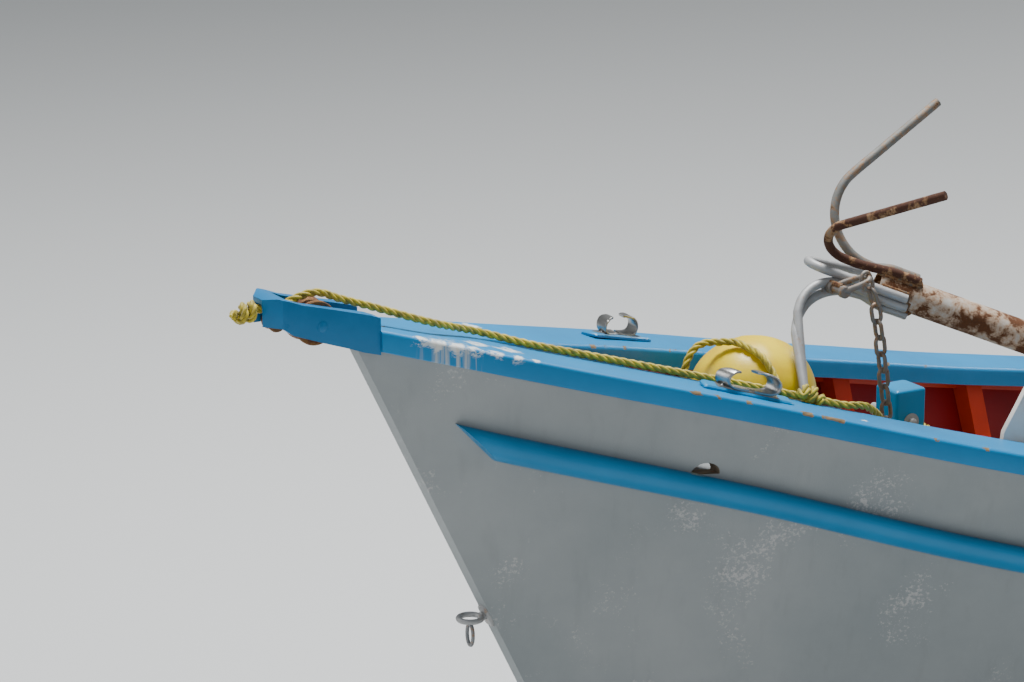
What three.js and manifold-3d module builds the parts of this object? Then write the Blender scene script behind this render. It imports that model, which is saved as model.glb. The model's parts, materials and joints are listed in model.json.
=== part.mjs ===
// A small wooden fishing trawler, afloat: x runs forward, y to port and z up, in millimetres.
// The origin is on the centreline at the waterline, amidships. Stations count aft from the stem head.
import * as THREE from "three";
import { mergeVertices } from "three/addons/utils/BufferGeometryUtils.js";
import Module from "manifold-3d";

const wasm = await Module();
wasm.setup();

// Driving dimensions
const lengthOverall = 8600;
const bowX = lengthOverall / 2;
const gap = 0.3; // between pieces that touch
const plank = 35; // bulwark and side planking
const railThick = 45;
const railWide = 164;
const railOverhang = 12; // of the cap rail past the planking
const stemHalf = 22; // half the flat face of the stem
const keelHalf = 50;
const stemHead = 13; // distance aft of the stem's top
const forefoot = { aft: 930, z: -400 }; // where the stem meets the keel
const deckFall = 0.05; // fall of the foredeck from its middle to its edges
const deckThick = 25;
const workDeckZ = 240;
const stepAft = 2750; // the foredeck ends here, in a step down to the working deck
const transomThick = 40;
const runningGap = 6; // round doors and lids

// Columns: distance aft of the bow, half breadth to the rail's outer edge, height of the rail's top,
// fall from there to the foredeck's edge and the rubbing strake's top
const sheerTable = [
  [0, 57, 1511, 165], [400, 201.5, 1405, 175], [800, 345, 1302.5, 187], [1200, 485, 1195, 208],
  [1600, 600, 1095.5, 222], [2000, 697, 1000, 230], [2800, 840, 843, 236], [3600, 975, 748, 236],
  [4600, 1090, 685, 236], [5600, 1145, 662, 236], [6600, 1130, 672, 236], [7600, 1065, 702, 236],
  [8600, 960, 750, 236],
];
// Columns: distance aft, height of the hull's bottom beside the keel
const bottomTable = [[926, -400], [2500, -432], [4500, -425], [6500, -320], [8600, -120]];
const stations = [
  stemHead, 200, 400, 600, 900, 1200, 1500, 1800, 2200, 2600,
  3000, 3500, 4100, 4800, 5600, 6400, 7200, 8000, 8450, lengthOverall,
];
const levels = [0, 0.12, 0.28, 0.45, 0.62, 0.76, 0.88, 1];

// Colours of the paints and metals
const paint = {
  hull: 0xa3a6a4, rail: 0x1b86c2, deck: 0x8d9093, antifoul: 0x35574c,
  rib: 0xc8401f, white: 0xd9d9d2, galvanised: 0x9da3a6, rust: 0x6d4632,
  steel: 0xb9bcbe, yellow: 0xe2c62b, rope: 0xc9b52c, engine: 0x3f6b52, glass: 0x9fb4ba,
  bronze: 0x8a6a35, dark: 0x33302d, wood: 0x8c6b4a,
};
const finish = (color, roughness = 0.6, metalness = 0) =>
  new THREE.MeshStandardMaterial({ color, roughness, metalness });

// Helpers for solids
const solidOf = (geometry) => {
  const bare = geometry.index ? geometry.toNonIndexed() : geometry.clone();
  bare.deleteAttribute("normal");
  bare.deleteAttribute("uv");
  const merged = mergeVertices(bare, 1e-3);
  const mesh = new wasm.Mesh({
    numProp: 3,
    vertProperties: new Float32Array(merged.attributes.position.array),
    triVerts: new Uint32Array(merged.index.array),
  });
  return new wasm.Manifold(mesh);
};
const geometryOf = (solid) => {
  const mesh = solid.getMesh();
  const geometry = new THREE.BufferGeometry();
  geometry.setAttribute("position", new THREE.BufferAttribute(mesh.vertProperties, 3));
  geometry.setIndex(new THREE.BufferAttribute(mesh.triVerts, 1));
  return geometry;
};
const union = (solids) => solids.reduce((sum, solid) => sum.add(solid));

const box = (low, high) => {
  const size = high.map((value, i) => value - low[i]);
  const centre = high.map((value, i) => (value + low[i]) / 2);
  return solidOf(new THREE.BoxGeometry(...size).translate(...centre));
};
const rod = (from, to, radius, sides = 12, endRadius = radius) => {
  const a = new THREE.Vector3(...from);
  const b = new THREE.Vector3(...to);
  const geometry = new THREE.CylinderGeometry(endRadius, radius, a.distanceTo(b), sides);
  const turn = new THREE.Quaternion().setFromUnitVectors(new THREE.Vector3(0, 1, 0), b.clone().sub(a).normalize());
  return solidOf(geometry.applyQuaternion(turn).translate(...a.add(b).multiplyScalar(0.5)));
};
const outline = (points) => new THREE.Shape(points.map(([a, b]) => new THREE.Vector2(a, b)));
// Points in x and z, extruded across the boat
const slabAcross = (points, yLow, yHigh) => {
  const geometry = new THREE.ExtrudeGeometry(outline(points), { depth: yHigh - yLow, bevelEnabled: false });
  return solidOf(geometry.rotateX(Math.PI / 2).translate(0, yHigh, 0));
};
// Points in y and z, extruded along the boat
const slabAlong = (points, xLow, xHigh) => {
  const geometry = new THREE.ExtrudeGeometry(outline(points), { depth: xHigh - xLow, bevelEnabled: false });
  const turn = new THREE.Matrix4().set(0, 0, 1, xLow, 1, 0, 0, 0, 0, 1, 0, 0, 0, 0, 0, 1);
  return solidOf(geometry.applyMatrix4(turn));
};
// Points in x and y, extruded upwards
const slabUp = (points, zLow, zHigh) =>
  solidOf(new THREE.ExtrudeGeometry(outline(points), { depth: zHigh - zLow, bevelEnabled: false }).translate(0, 0, zLow));
// A round bar swept along a smooth curve through the points
const sweep = (points, radius, sides, steps, tension = 0.5, closed = false) => {
  const vectors = points.map((point) => new THREE.Vector3(...point));
  const path = new THREE.CatmullRomCurve3(vectors, closed, "catmullrom", tension);
  const section = new THREE.Shape();
  for (let i = 0; i < sides; i += 1) {
    const angle = (2 * Math.PI * i) / sides;
    const point = [radius * Math.cos(angle), radius * Math.sin(angle)];
    if (i === 0) section.moveTo(...point);
    else section.lineTo(...point);
  }
  return solidOf(new THREE.ExtrudeGeometry(section, { steps, extrudePath: path, bevelEnabled: false }));
};
// A closed solid through rings of points that lie one after another from bow to stern
const loftGeometry = (ringsGiven) => {
  const flat = (ring) => ring.map((point) => new THREE.Vector2(point[1], point[2]));
  const clockwise = THREE.ShapeUtils.isClockWise(flat(ringsGiven[0]));
  const rings = clockwise ? ringsGiven.map((ring) => ring.toReversed()) : ringsGiven;
  const count = rings[0].length;
  const last = (rings.length - 1) * count;
  const index = [];
  for (let a = 0; a < last; a += 1) {
    const b = a - (a % count) + ((a + 1) % count);
    index.push(a, a + count, b, b, a + count, b + count);
  }
  for (const [a, b, c] of THREE.ShapeUtils.triangulateShape(flat(rings[0]), [])) index.push(a, b, c);
  for (const [a, b, c] of THREE.ShapeUtils.triangulateShape(flat(rings.at(-1)), [])) {
    index.push(a + last, c + last, b + last);
  }
  const geometry = new THREE.BufferGeometry();
  geometry.setAttribute("position", new THREE.Float32BufferAttribute(rings.flat(2), 3));
  geometry.setIndex(index);
  return geometry;
};
const loft = (rings) => solidOf(loftGeometry(rings));

const scene = new THREE.Group();
const place = (name, solid, material) => {
  const mesh = new THREE.Mesh(geometryOf(solid), material);
  mesh.name = name;
  scene.add(mesh);
};

// The hull's surface
const smooth = (table, column, at) => {
  const last = table.length - 1;
  const slope = (i) => {
    const [a, b] = [Math.max(i - 1, 0), Math.min(i + 1, last)];
    return (table[b][column] - table[a][column]) / (table[b][0] - table[a][0]);
  };
  let i = 0;
  while (i < last - 1 && table[i + 1][0] < at) i += 1;
  const width = table[i + 1][0] - table[i][0];
  const t = (at - table[i][0]) / width;
  const [t2, t3] = [t * t, t * t * t];
  return (2 * t3 - 3 * t2 + 1) * table[i][column] + (t3 - 2 * t2 + t) * width * slope(i)
    + (3 * t2 - 2 * t3) * table[i + 1][column] + (t3 - t2) * width * slope(i + 1);
};
const railHalf = (aft) => smooth(sheerTable, 1, aft);
const sheerZ = (aft) => smooth(sheerTable, 2, aft);
const bottomZ = (aft) => smooth(bottomTable, 1, aft);
const hullTopZ = (aft) => sheerZ(aft) - railThick - gap;
// The share of the hull's length that lies ahead of a station
const partOf = (station) => (station - stemHead) / (lengthOverall - stemHead);

// The fullness of the sections: nearly straight and flared at the bow, round amidships
const fullness = (part) => {
  const blend = THREE.MathUtils.smoothstep(part, 0.02, 0.5);
  return THREE.MathUtils.lerp(0.82, 0.34, blend) + 0.06 * THREE.MathUtils.smoothstep(part, 0.7, 1);
};
const keelAftAt = (station) => THREE.MathUtils.lerp(forefoot.aft, lengthOverall, partOf(station));
const hullPoint = (station, level, grow = 0) => {
  const part = partOf(station);
  const low = levels.findLastIndex((value, i) => value <= level && i < levels.length - 1);
  const share = Math.min((level - levels[low]) / (levels[low + 1] - levels[low]), 1);
  const halfAt = (value) => {
    const side = railHalf(station) - railOverhang;
    const root = THREE.MathUtils.lerp(stemHalf, keelHalf, Math.min(part * 12, 1));
    return part === 0 ? stemHalf : root + (side - root) * value ** fullness(part);
  };
  const stemAft = THREE.MathUtils.lerp(forefoot.aft, stemHead, Math.min(level, 1));
  const aft = stemAft + part * (lengthOverall - stemAft);
  const keelAft = keelAftAt(station);
  const z = THREE.MathUtils.lerp(bottomZ(keelAft), hullTopZ(station), level);
  const half = THREE.MathUtils.lerp(halfAt(levels[low]), halfAt(levels[low + 1]), share);
  return [bowX - aft, half + grow, z];
};
const levelAt = (station, z) => {
  const bottom = bottomZ(keelAftAt(station));
  return Math.min((z - bottom) / (hullTopZ(station) - bottom), 1);
};
// The station whose side passes a distance aft at a height, and the half breadth there
const stationAt = (aft, z) => {
  let station = aft;
  for (let i = 0; i < 6; i += 1) station += aft - (bowX - hullPoint(station, levelAt(station, z))[0]);
  return station;
};
const sideY = (aft, z) => {
  const station = stationAt(aft, z);
  return hullPoint(station, levelAt(station, z))[1];
};
const mirrored = (points) => [...points, ...points.toReversed().map(([x, y, z]) => [x, -y, z])];
const outerHull = (grow) => loft(stations.map((station) =>
  mirrored(levels.toReversed().map((level) => hullPoint(station, level, grow)))));

// The room inside the planking, open at the top, with walls as far in as the inset says
const insideHull = (inset, back = 0) => solidOf(loftGeometry(stations.filter((station) => station >= 400).map((station) => {
  const side = levels.filter((level) => level >= 0.28).toReversed().map((level) => hullPoint(station, level, -inset));
  const [[x, y, z], [lowerX, , lowerZ]] = side;
  const rise = 2;
  return mirrored([[x + rise * (x - lowerX), y, z + rise * (z - lowerZ)], ...side]);
})).translate(-back, 0, 0));
// A layer right across the boat, between two heights that follow the distance aft
const layer = (low, high, fall = 0) => loft(stations.filter((aft) => aft <= 3700).map((aft) => {
  const x = bowX - aft;
  const edge = 1500;
  const drop = fall * (edge - railHalf(aft));
  return [
    [x, -edge, low(aft) - drop], [x, 0, low(aft) + fall * railHalf(aft)], [x, edge, low(aft) - drop],
    [x, edge, high(aft) - drop], [x, 0, high(aft) + fall * railHalf(aft)], [x, -edge, high(aft) - drop],
  ];
}));
const far = 6000;
const stepX = bowX - stepAft;
const foreBlock = (back = 0) => box([stepX + back, -far, -far], [far + bowX, far, far]);
const workBlock = (z, shrink = 0, front = shrink) => box([transomThick - bowX + shrink, -far, z], [stepX - front, far, far]);
const foredeckEdge = (aft) => sheerZ(aft) - smooth(sheerTable, 3, aft);
const foredeckMid = (aft) => foredeckEdge(aft) + deckFall * railHalf(aft);
const foreFloor = (rise, thick = far) => layer(
  (aft) => foredeckEdge(aft) + rise, (aft) => foredeckEdge(aft) + rise + thick, deckFall,
).intersect(foreBlock(thick === far ? 0 : gap));

// Hold, engine well and shaft line
const hold = { x: -1950, half: 400, low: -150 };
const well = { x: 345, long: 760, half: 230, low: -200 };
const shaftZ = -470;
const sternpostX = -3340;
const rudderStock = { x: -3820, radius: 22 };

const hullBox = ({ x, half, long = 2 * half, low }) =>
  box([x - long / 2, -half, low], [x + long / 2, half, workDeckZ + 1000]);
const openRoom = insideHull(plank)
  .intersect(foreFloor(-deckThick - 3 * gap).add(workBlock(workDeckZ - deckThick - 3 * gap)));

// Scuppers through the planking just above the strake, at the foredeck and the working deck
const scuppers = { aft: [690, 4700, 6700], wide: 56, high: 26 };
const scupperZ = (aft) => (aft < stepAft ? foredeckEdge(aft) : workDeckZ) + 3;
const scupperCuts = union(scuppers.aft.map((aft) => {
  const [x, z] = [bowX - aft, scupperZ(aft)];
  return box([x - scuppers.wide / 2, -2000, z], [x + scuppers.wide / 2, 2000, z + scuppers.high]);
}));

// Everything above the decks' undersides, as far as the stern
const aboveDecks = (rise) => foreFloor(rise - deckThick - gap)
  .add(box([-far, -far, workDeckZ - deckThick - gap + rise], [stepX, far, far]));
const hull = outerHull(0)
  .subtract(aboveDecks(-gap))
  .subtract(hullBox(hold))
  .subtract(hullBox(well))
  .subtract(rod([rudderStock.x, 0, -600], [rudderStock.x, 0, 120], rudderStock.radius + 1.5, 16));
place("hull", hull, finish(paint.hull, 0.75));
// The bulwarks stand on the hull and meet at the stem and at the transom
const bulwarks = outerHull(0)
  .intersect(aboveDecks(0))
  .subtract(openRoom)
  .subtract(scupperCuts);
const sternX = transomThick - bowX;
const sides = [["port", 1], ["starboard", -1]];
const lengths = [["fore", stepX + gap / 2, far + bowX], ["aft", sternX + gap, stepX - gap / 2]];
for (const [name, side] of sides) {
  const [low, high] = side > 0 ? [gap / 2, far] : [-far, -gap / 2];
  for (const [end, back, front] of lengths) {
    const quarter = box([back, low, -far], [front, high, far]);
    place(`bulwark_${end}_${name}`, bulwarks.intersect(quarter), finish(paint.hull, 0.75));
  }
}
place("transom", bulwarks.intersect(box([-far, -far, -far], [sternX, far, far])), finish(paint.hull, 0.75));

const liner = insideHull(plank + gap, gap);
place("foredeck", liner.intersect(foreFloor(-deckThick, deckThick)), finish(paint.deck, 0.8));
const workDeck = liner
  .intersect(workBlock(workDeckZ - deckThick, gap))
  .subtract(box([-far, -far, workDeckZ], [far, far, far]))
  .subtract(hullBox(hold))
  .subtract(hullBox(well));
place("working_deck", workDeck, finish(paint.deck, 0.8));
// What a foot that stands on the foredeck is trimmed with
const underForedeck = foreFloor(gap - 400, 400);

// Keel, deadwood, sternpost and heel in one profile, with the shaft's boss
const keelTop = stations
  .map(keelAftAt)
  .filter((aft) => bowX - aft > sternpostX && aft > 1000)
  .map((aft) => [bowX - aft, bottomZ(aft) - gap]);
const keelAt = (x) => bottomZ(bowX - x) - gap - 3;
const keelOutline = [
  ...keelTop, [sternpostX, keelAt(sternpostX)], [sternpostX, -780], [-4080, -780], [-4080, -830],
  [2700, -610], [3040, -540], [3230, -430],
];
const boss = rod([sternpostX + 260, 0, shaftZ], [sternpostX - 40, 0, shaftZ], 70, 16, 48);
const heelHole = rod([rudderStock.x, 0, -800], [rudderStock.x, 0, -700], 13.5, 12);
const keel = slabAcross(keelOutline, -keelHalf, keelHalf)
  .add(boss)
  .subtract(rod([sternpostX + 220, 0, shaftZ], [sternpostX - 100, 0, shaftZ], 19, 16))
  .subtract(heelHole);
place("keel", keel, finish(paint.antifoul, 0.85));

// Cap rails: flat planks on the top of the planking, from the stem head to the transom
const railFrom = 47; // behind the bow fitting
const railStations = [railFrom, ...stations.slice(1)];
const railSlope = (aft) => (railHalf(aft + 10) - railHalf(aft - 10)) / 20;
const railInner = (aft) => Math.max(railHalf(aft) - railWide * Math.hypot(1, railSlope(aft)), gap / 2);
const railSection = (aft, side, rise = 0) => {
  const [x, z] = [bowX - aft, sheerZ(aft) + rise];
  const ring = [[x, railHalf(aft), z - railThick], [x, railHalf(aft), z], [x, railInner(aft), z], [x, railInner(aft), z - railThick]];
  return ring.map(([a, b, c]) => [a, side * b, c]);
};
for (const [name, side] of sides) {
  place(`cap_rail_${name}`, loft(railStations.map((aft) => railSection(aft, side))), finish(paint.rail, 0.45));
}
place("transom_rail", loft([lengthOverall - railWide, lengthOverall].map((aft) => {
  const [x, z, inner] = [bowX - aft, sheerZ(aft), railInner(aft) - gap];
  return [[x, -inner, z - railThick], [x, -inner, z], [x, inner, z], [x, inner, z - railThick]];
})), finish(paint.rail, 0.45));

// Rubbing strakes: half round, with a slanted front end and their tops at the foredeck's level
const strake = { from: 205, slant: 75, high: 60, proud: 40, root: -30 };
// Columns: share of the proud depth, share of half the height
const strakeRound = [[0.45, 1], [0.85, 0.7], [1, 0.25], [1, -0.25], [0.85, -0.7], [0.45, -1]];
const strakeBlock = (side) => {
  const half = strake.high / 2;
  const section = [
    [strake.root, half], ...strakeRound.map(([out, up]) => [out * strake.proud, up * half]), [strake.root, -half],
  ];
  const ring = (aft, slant) => section.map(([out, up]) => {
    const at = aft + (slant * (half - up)) / strake.high;
    const z = foredeckEdge(at) - half + up;
    return [bowX - at, side * (sideY(at, z) + out), z];
  });
  const run = stations.filter((station) => station > strake.from + strake.slant);
  return loft([ring(strake.from, strake.slant), ...run.map((aft) => ring(aft, 0))]);
};
for (const [name, side] of sides) {
  place(`rub_strake_${name}`, strakeBlock(side).subtract(outerHull(gap)), finish(paint.rail, 0.45));
}

// Bulwark ribs, joined by a clamp under the rail
const ribs = { first: 563, pitch: 485, count: 17, wide: 45, deep: 60, clamp: 30 };
const bulwarkFaces = liner
  .intersect(foreFloor(gap).add(workBlock(workDeckZ + gap, gap, 0)));
const railBottom = (aft) => sheerZ(aft) - railThick;
const aboveRailBottom = loft(stations.map((aft) => {
  const [x, z] = [bowX - aft, railBottom(aft) - gap];
  return [[x, -far, z], [x, far, z], [x, far, far], [x, -far, far]];
}));
const ribBlock = (aft, side) => {
  const floor = aft < stepAft ? foredeckEdge(aft) : workDeckZ;
  const faceAt = (z) => sideY(aft, z) - plank - ribs.deep;
  const [low, high] = [floor - 20, hullTopZ(aft) + 30];
  const section = [[faceAt(low), low], [faceAt(low) + 200, low], [faceAt(high) + 200, high], [faceAt(high), high]];
  const turned = section.map(([y, z]) => [side * y, z]);
  return slabAlong(side > 0 ? turned : turned.toReversed(), bowX - aft - ribs.wide / 2, bowX - aft + ribs.wide / 2);
};
const clampBlock = (side) => loft(stations.filter((station) => station >= 400).map((station) => {
  const [x, y, z] = hullPoint(station, 1);
  const [outer, inner] = [y + 20, y - plank - ribs.clamp];
  return [[x, side * outer, z - ribs.clamp], [x, side * outer, z + 20], [x, side * inner, z + 20], [x, side * inner, z - ribs.clamp]];
}));
for (const [name, side] of sides) {
  const blocks = Array.from({ length: ribs.count }, (_, i) => ribBlock(ribs.first + i * ribs.pitch, side));
  const clearOfStep = box([stepX - 60, -far, -far], [stepX + 60, far, hullTopZ(stepAft) - ribs.clamp - 15]);
  const frames = union(blocks).add(clampBlock(side))
    .intersect(bulwarkFaces)
    .subtract(aboveRailBottom)
    .subtract(clearOfStep);
  place(`bulwark_ribs_${name}`, frames, finish(paint.rib, 0.7));
}

// Bow fitting: two cheeks joined over the stem head and by a bridge, with a mouth and two rollers
const stemTop = sheerZ(0);
const fitting = { half: 57, back: bowX - railFrom + gap, shoulder: bowX + 159, front: bowX + 186, mouth: 20, channel: 32 };
// Columns: distance ahead of the bow, height over the rail's end
const fittingLow = [[-47 + gap, -64], [-12, -55], [18, -44], [73, -26], [137, -3], [159, 14], [186, 13]];
const fittingHigh = [[186, 67], [165, 72], [147, 67], [118, 56], [-26, 19], [-47 + gap, 11]];
const fromStem = (points) => points.map(([ahead, rise]) => [bowX + ahead, stemTop + rise]);
const bothSides = (points) => [...points, ...points.toReversed().map(([x, y]) => [x, -y])];
const fittingPlan = bothSides([[fitting.back, fitting.half], [fitting.shoulder, fitting.half], [fitting.front, fitting.mouth]]);
const channelPlan = bothSides([
  [bowX + 18, fitting.channel], [bowX + 148, fitting.channel], [bowX + 172, fitting.mouth], [bowX + 200, fitting.mouth],
]);
const overRoot = slabAcross(fromStem([[-60, -14], [30, -18], [30, 90], [-60, 90]]), -fitting.channel, fitting.channel);
const underBridge = slabAcross(
  fromStem([[10, -90], [200, -90], [200, 54], [186, 57], [165, 62], [142, 61], [142, 90], [10, 90]]), -far, far,
);
const rollers = [
  { name: "bow_roller_aft", x: bowX + 75, z: stemTop + 8, radius: 45, bore: 13, half: fitting.channel - 1.5, pin: fitting.half + 8 },
  { name: "bow_roller_fore", x: bowX + 152, z: stemTop + 17, radius: 20, bore: 8, half: fitting.mouth - 2, pin: fitting.half - 2 },
];
const rollerPins = union(rollers.map(({ x, z, bore, pin }) => rod([x, -pin, z], [x, pin, z], bore - 1, 16)));
const fittingBody = slabAcross(fromStem([...fittingLow, ...fittingHigh]), -fitting.half, fitting.half)
  .intersect(slabUp(fittingPlan, 0, far))
  .subtract(slabUp(channelPlan, 0, far).intersect(underBridge))
  .subtract(overRoot)
  .subtract(outerHull(gap).translate([gap, 0, gap]));
place("bow_fitting", fittingBody.add(rollerPins), finish(paint.rail, 0.5));
for (const { name, x, z, radius, bore, half } of rollers) {
  const roller = rod([x, -half, z], [x, half, z], radius, 20).subtract(rod([x, -half - 1, z], [x, half + 1, z], bore, 16));
  place(name, roller, finish(paint.rust, 0.8));
}

// Fairleads on the rails: an open chock with two inward horns
const chock = { aft: 787, long: 190, base: 8, wide: 46 };
const underRail = (side) => loft(stations.filter((aft) => aft < 3000).map((aft) => {
  const [x, z] = [bowX - aft, sheerZ(aft) + gap];
  return [[x, 0, z - 100], [x, side * 1500, z - 100], [x, side * 1500, z], [x, 0, z]];
}));
const chockMidY = (railHalf(chock.aft) + railInner(chock.aft)) / 2;
for (const [name, side] of sides) {
  const top = (x) => sheerZ(bowX - x) + chock.base;
  const xMid = bowX - chock.aft;
  const half = chock.long / 2;
  const profile = [
    [xMid - half, top(xMid) - 60], [xMid + half, top(xMid) - 60], [xMid + half, top(xMid + half)], [xMid + 52, top(xMid + 52) + 4],
    [xMid + 40, top(xMid) + 34], [xMid + 16, top(xMid) + 38], [xMid + 14, top(xMid) + 28], [xMid + 30, top(xMid) + 22],
    [xMid + 32, top(xMid) + 8], [xMid - 32, top(xMid) - 4], [xMid - 34, top(xMid) + 14], [xMid - 20, top(xMid) + 22],
    [xMid - 22, top(xMid) + 32], [xMid - 46, top(xMid) + 22], [xMid - 56, top(xMid - 56) + 2], [xMid - half, top(xMid - half)],
  ];
  const turn = THREE.MathUtils.radToDeg(Math.atan(railSlope(chock.aft)));
  const body = slabAcross(profile, -11, 11)
    .add(box([xMid - half, -chock.wide / 2, top(xMid) - 60], [xMid + half, chock.wide / 2, top(xMid) - 2]))
    .translate(-xMid, 0, 0)
    .rotate(0, 0, -side * turn)
    .translate(xMid, side * chockMidY, 0)
    .subtract(underRail(side));
  place(`chock_${name}`, body, finish(paint.steel, 0.3, 0.9));
}

// Samson post
const post = { aft: 1364, half: 40, top: 1184, crown: 14 };
const postX = bowX - post.aft;
const postBody = slabAcross([
  [postX - post.half, 880], [postX + post.half, 880], [postX + post.half, post.top - post.crown],
  [postX + 22, post.top - 3], [postX, post.top], [postX - 22, post.top - 3], [postX - post.half, post.top - post.crown],
], -post.half, post.half).subtract(underForedeck);
const postPin = { z: 1106, radius: 10, reach: 95 };
place("samson_post", postBody.add(
  rod([postX, -postPin.reach, postPin.z], [postX, postPin.reach, postPin.z], postPin.radius, 10),
), finish(paint.rail, 0.55));

// Eye on the stem, with the link that hangs in it
const eye = { z: 835, ring: 24, wire: 6 };
const stemRake = (forefoot.aft - stemHead) / (hullTopZ(stemHead) - forefoot.z);
const stemX = (z) => bowX - stemHead - (hullTopZ(stemHead) - z) * stemRake;
const eyeX = stemX(eye.z) + 40;
const eyeRing = solidOf(new THREE.TorusGeometry(eye.ring, eye.wire, 6, 16).rotateX(Math.PI / 2).translate(eyeX, 0, eye.z));
place("bow_eye", union([
  eyeRing, rod([stemX(eye.z) - 20, 0, eye.z], [eyeX - eye.ring + 2, 0, eye.z], 9, 10),
  box([stemX(eye.z) - 20, -18, eye.z - 26], [stemX(eye.z) + 6, 18, eye.z + 26]),
]).subtract(outerHull(gap).translate([gap, 0, 0])), finish(paint.galvanised, 0.5, 0.8));
const linkWire = 4;
const linkTop = eye.z - eye.ring + eye.wire + gap + linkWire;
const linkPath = Array.from({ length: 12 }, (_, i) => {
  const angle = (2 * Math.PI * (i + 0.5)) / 12;
  return [eyeX, 12.5 * Math.sin(angle), linkTop - 22 + 23 * Math.cos(angle)];
});
place("bow_link", sweep(linkPath, linkWire, 6, 14, 0.5, true), finish(paint.galvanised, 0.5, 0.8));

// Float: a hard ball with an axial tube, lying on the foredeck
const float = { aft: 972, y: 0, radius: 129, tube: 22, half: 134 };
const floatX = bowX - float.aft;
const floatZ = foredeckMid(float.aft) + float.radius + 3;
const floatProfile = Array.from({ length: 11 }, (_, i) => {
  const angle = (Math.PI * i) / 10;
  return [Math.max(float.radius * Math.sin(angle) ** 0.8, 38), -float.half * Math.cos(angle)];
});
const floatBody = new THREE.LatheGeometry([
  ...floatProfile.map(([r, along]) => new THREE.Vector2(r, along)),
  new THREE.Vector2(float.tube, float.half), new THREE.Vector2(float.tube, -float.half), new THREE.Vector2(38, -float.half),
], 18).rotateZ(Math.PI / 2).translate(floatX, float.y, floatZ);
place("float", solidOf(floatBody).subtract(underForedeck), finish(paint.yellow, 0.35));

// Home-made grapnel: a pipe with five bars welded along its end, its tail on the port rail
const grapnel = { head: [bowX - 1248, 55, 1435], tailAft: 2400, tailY: 635, pipe: 35, bar: 10 };
const tail = [bowX - grapnel.tailAft, grapnel.tailY, sheerZ(grapnel.tailAft) + grapnel.pipe - 2.5];
const along = new THREE.Vector3(...grapnel.head).sub(new THREE.Vector3(...tail)).normalize();
const upward = new THREE.Vector3(0, 0, 1).addScaledVector(along, -along.z).normalize();
const toStarboard = along.clone().cross(upward);
// Columns: where the bar lies round the pipe, lap on the pipe, reach past its end, bend radius,
// opening of the hook, arm, and the way round the pipe that the arm points
const arms = [
  { roll: 7, lap: 84, reach: 140, bend: 116, opening: 58, arm: 251, swing: 22 },
  { roll: -21, lap: 86, reach: 147, bend: 65, opening: 53, arm: 246, swing: -40 },
  { roll: -91, lap: 65, reach: 155, bend: 37, opening: 40, arm: 190, swing: 93 },
  { roll: -119, lap: 72, reach: 156, bend: 87, opening: 64, arm: 335, swing: -142 },
  { roll: -159, lap: 84, reach: 151, bend: 119, opening: 72, arm: 345, swing: -138 },
];
const outward = (degrees) => {
  const angle = THREE.MathUtils.degToRad(degrees);
  return upward.clone().multiplyScalar(Math.cos(angle)).addScaledVector(toStarboard, Math.sin(angle));
};
const armPath = ({ roll, lap, reach, bend, opening, arm, swing }) => {
  const [out, aside] = [outward(roll), outward(swing)];
  const offset = grapnel.pipe + grapnel.bar - 3;
  const at = (s, r, bent = 0) => new THREE.Vector3(...grapnel.head)
    .addScaledVector(along, s).addScaledVector(out, r).addScaledVector(aside, bent).toArray();
  const turn = THREE.MathUtils.degToRad(180 - opening);
  const [start, low] = [reach - bend, offset * 0.8];
  const points = [at(-lap, offset), at(-20, offset), at(start * 0.6, low)];
  for (let i = 0; i <= 6; i += 1) {
    const t = (turn * i) / 6;
    points.push(at(start + bend * Math.sin(t), low, bend * (1 - Math.cos(t))));
  }
  const [endS, endR] = [start + bend * Math.sin(turn), bend * (1 - Math.cos(turn))];
  for (const share of [0.5, 1]) {
    points.push(at(endS + arm * share * Math.cos(turn), low, endR + arm * share * Math.sin(turn)));
  }
  return points;
};
// The shackle whose pin is welded to the lower bars, with its bow turned up and aft
const shackle = { x: 3163, y: 72, z: 1441, half: 22, wire: 6.5, bow: [-50, 34, 27] };
const shacklePath = [[1, 0], [1, 0.5], [0.8, 0.85], [0, 1], [-0.8, 0.85], [-1, 0.5], [-1, 0]].map(([across, out]) => [
  shackle.x + out * shackle.bow[0], shackle.y + across * shackle.half + out * shackle.bow[1],
  shackle.z + out * shackle.bow[2],
]);
const pipe = rod(tail, grapnel.head, grapnel.pipe, 14).subtract(underRail(1));
const grapnelBody = union([
  pipe,
  ...arms.map((arm) => sweep(armPath(arm), grapnel.bar, 6, 16)),
  sweep(shacklePath, shackle.wire, 8, 14),
  rod([shackle.x, shackle.y - shackle.half - 28, shackle.z], [shackle.x, shackle.y + shackle.half + 6, shackle.z], 8, 10),
]).subtract(underForedeck);
place("grapnel_anchor", grapnelBody, finish(paint.galvanised, 0.7, 0.5));

// Chain: links fused end to end, hanging from the shackle to the foredeck by the post
const chain = { wire: 4.6, pitch: 31.5, half: 11, count: 16, lead: 12, drift: 0.15 };
const long = chain.pitch / 2 + chain.wire * 0.6;
const chainTop = new THREE.Vector3(
  shackle.x + shackle.bow[0], shackle.y + shackle.bow[1],
  shackle.z + shackle.bow[2] + shackle.wire + 2.5 + chain.wire - long,
);
const chainLinks = Array.from({ length: chain.count }, (_, i) => {
  const path = [[-chain.half, -long * 0.5], [-chain.half, long * 0.5], [0, long], [chain.half, long * 0.5], [chain.half, -long * 0.5], [0, -long]];
  const turned = path.map(([a, z]) => (i % 2 ? [0, a, z] : [a, 0, z]));
  const lean = chain.lead * Math.sqrt(i) + chain.drift * i ** 2;
  const at = chainTop.clone().add(new THREE.Vector3(-lean, 0, -i * chain.pitch));
  return sweep(turned.map(([x, y, z]) => [x + at.x, y + at.y, z + at.z]), chain.wire, 4, 8, 0.5, true);
});
place("anchor_chain", union(chainLinks).subtract(underForedeck), finish(paint.rust, 0.8, 0.6));

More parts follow.
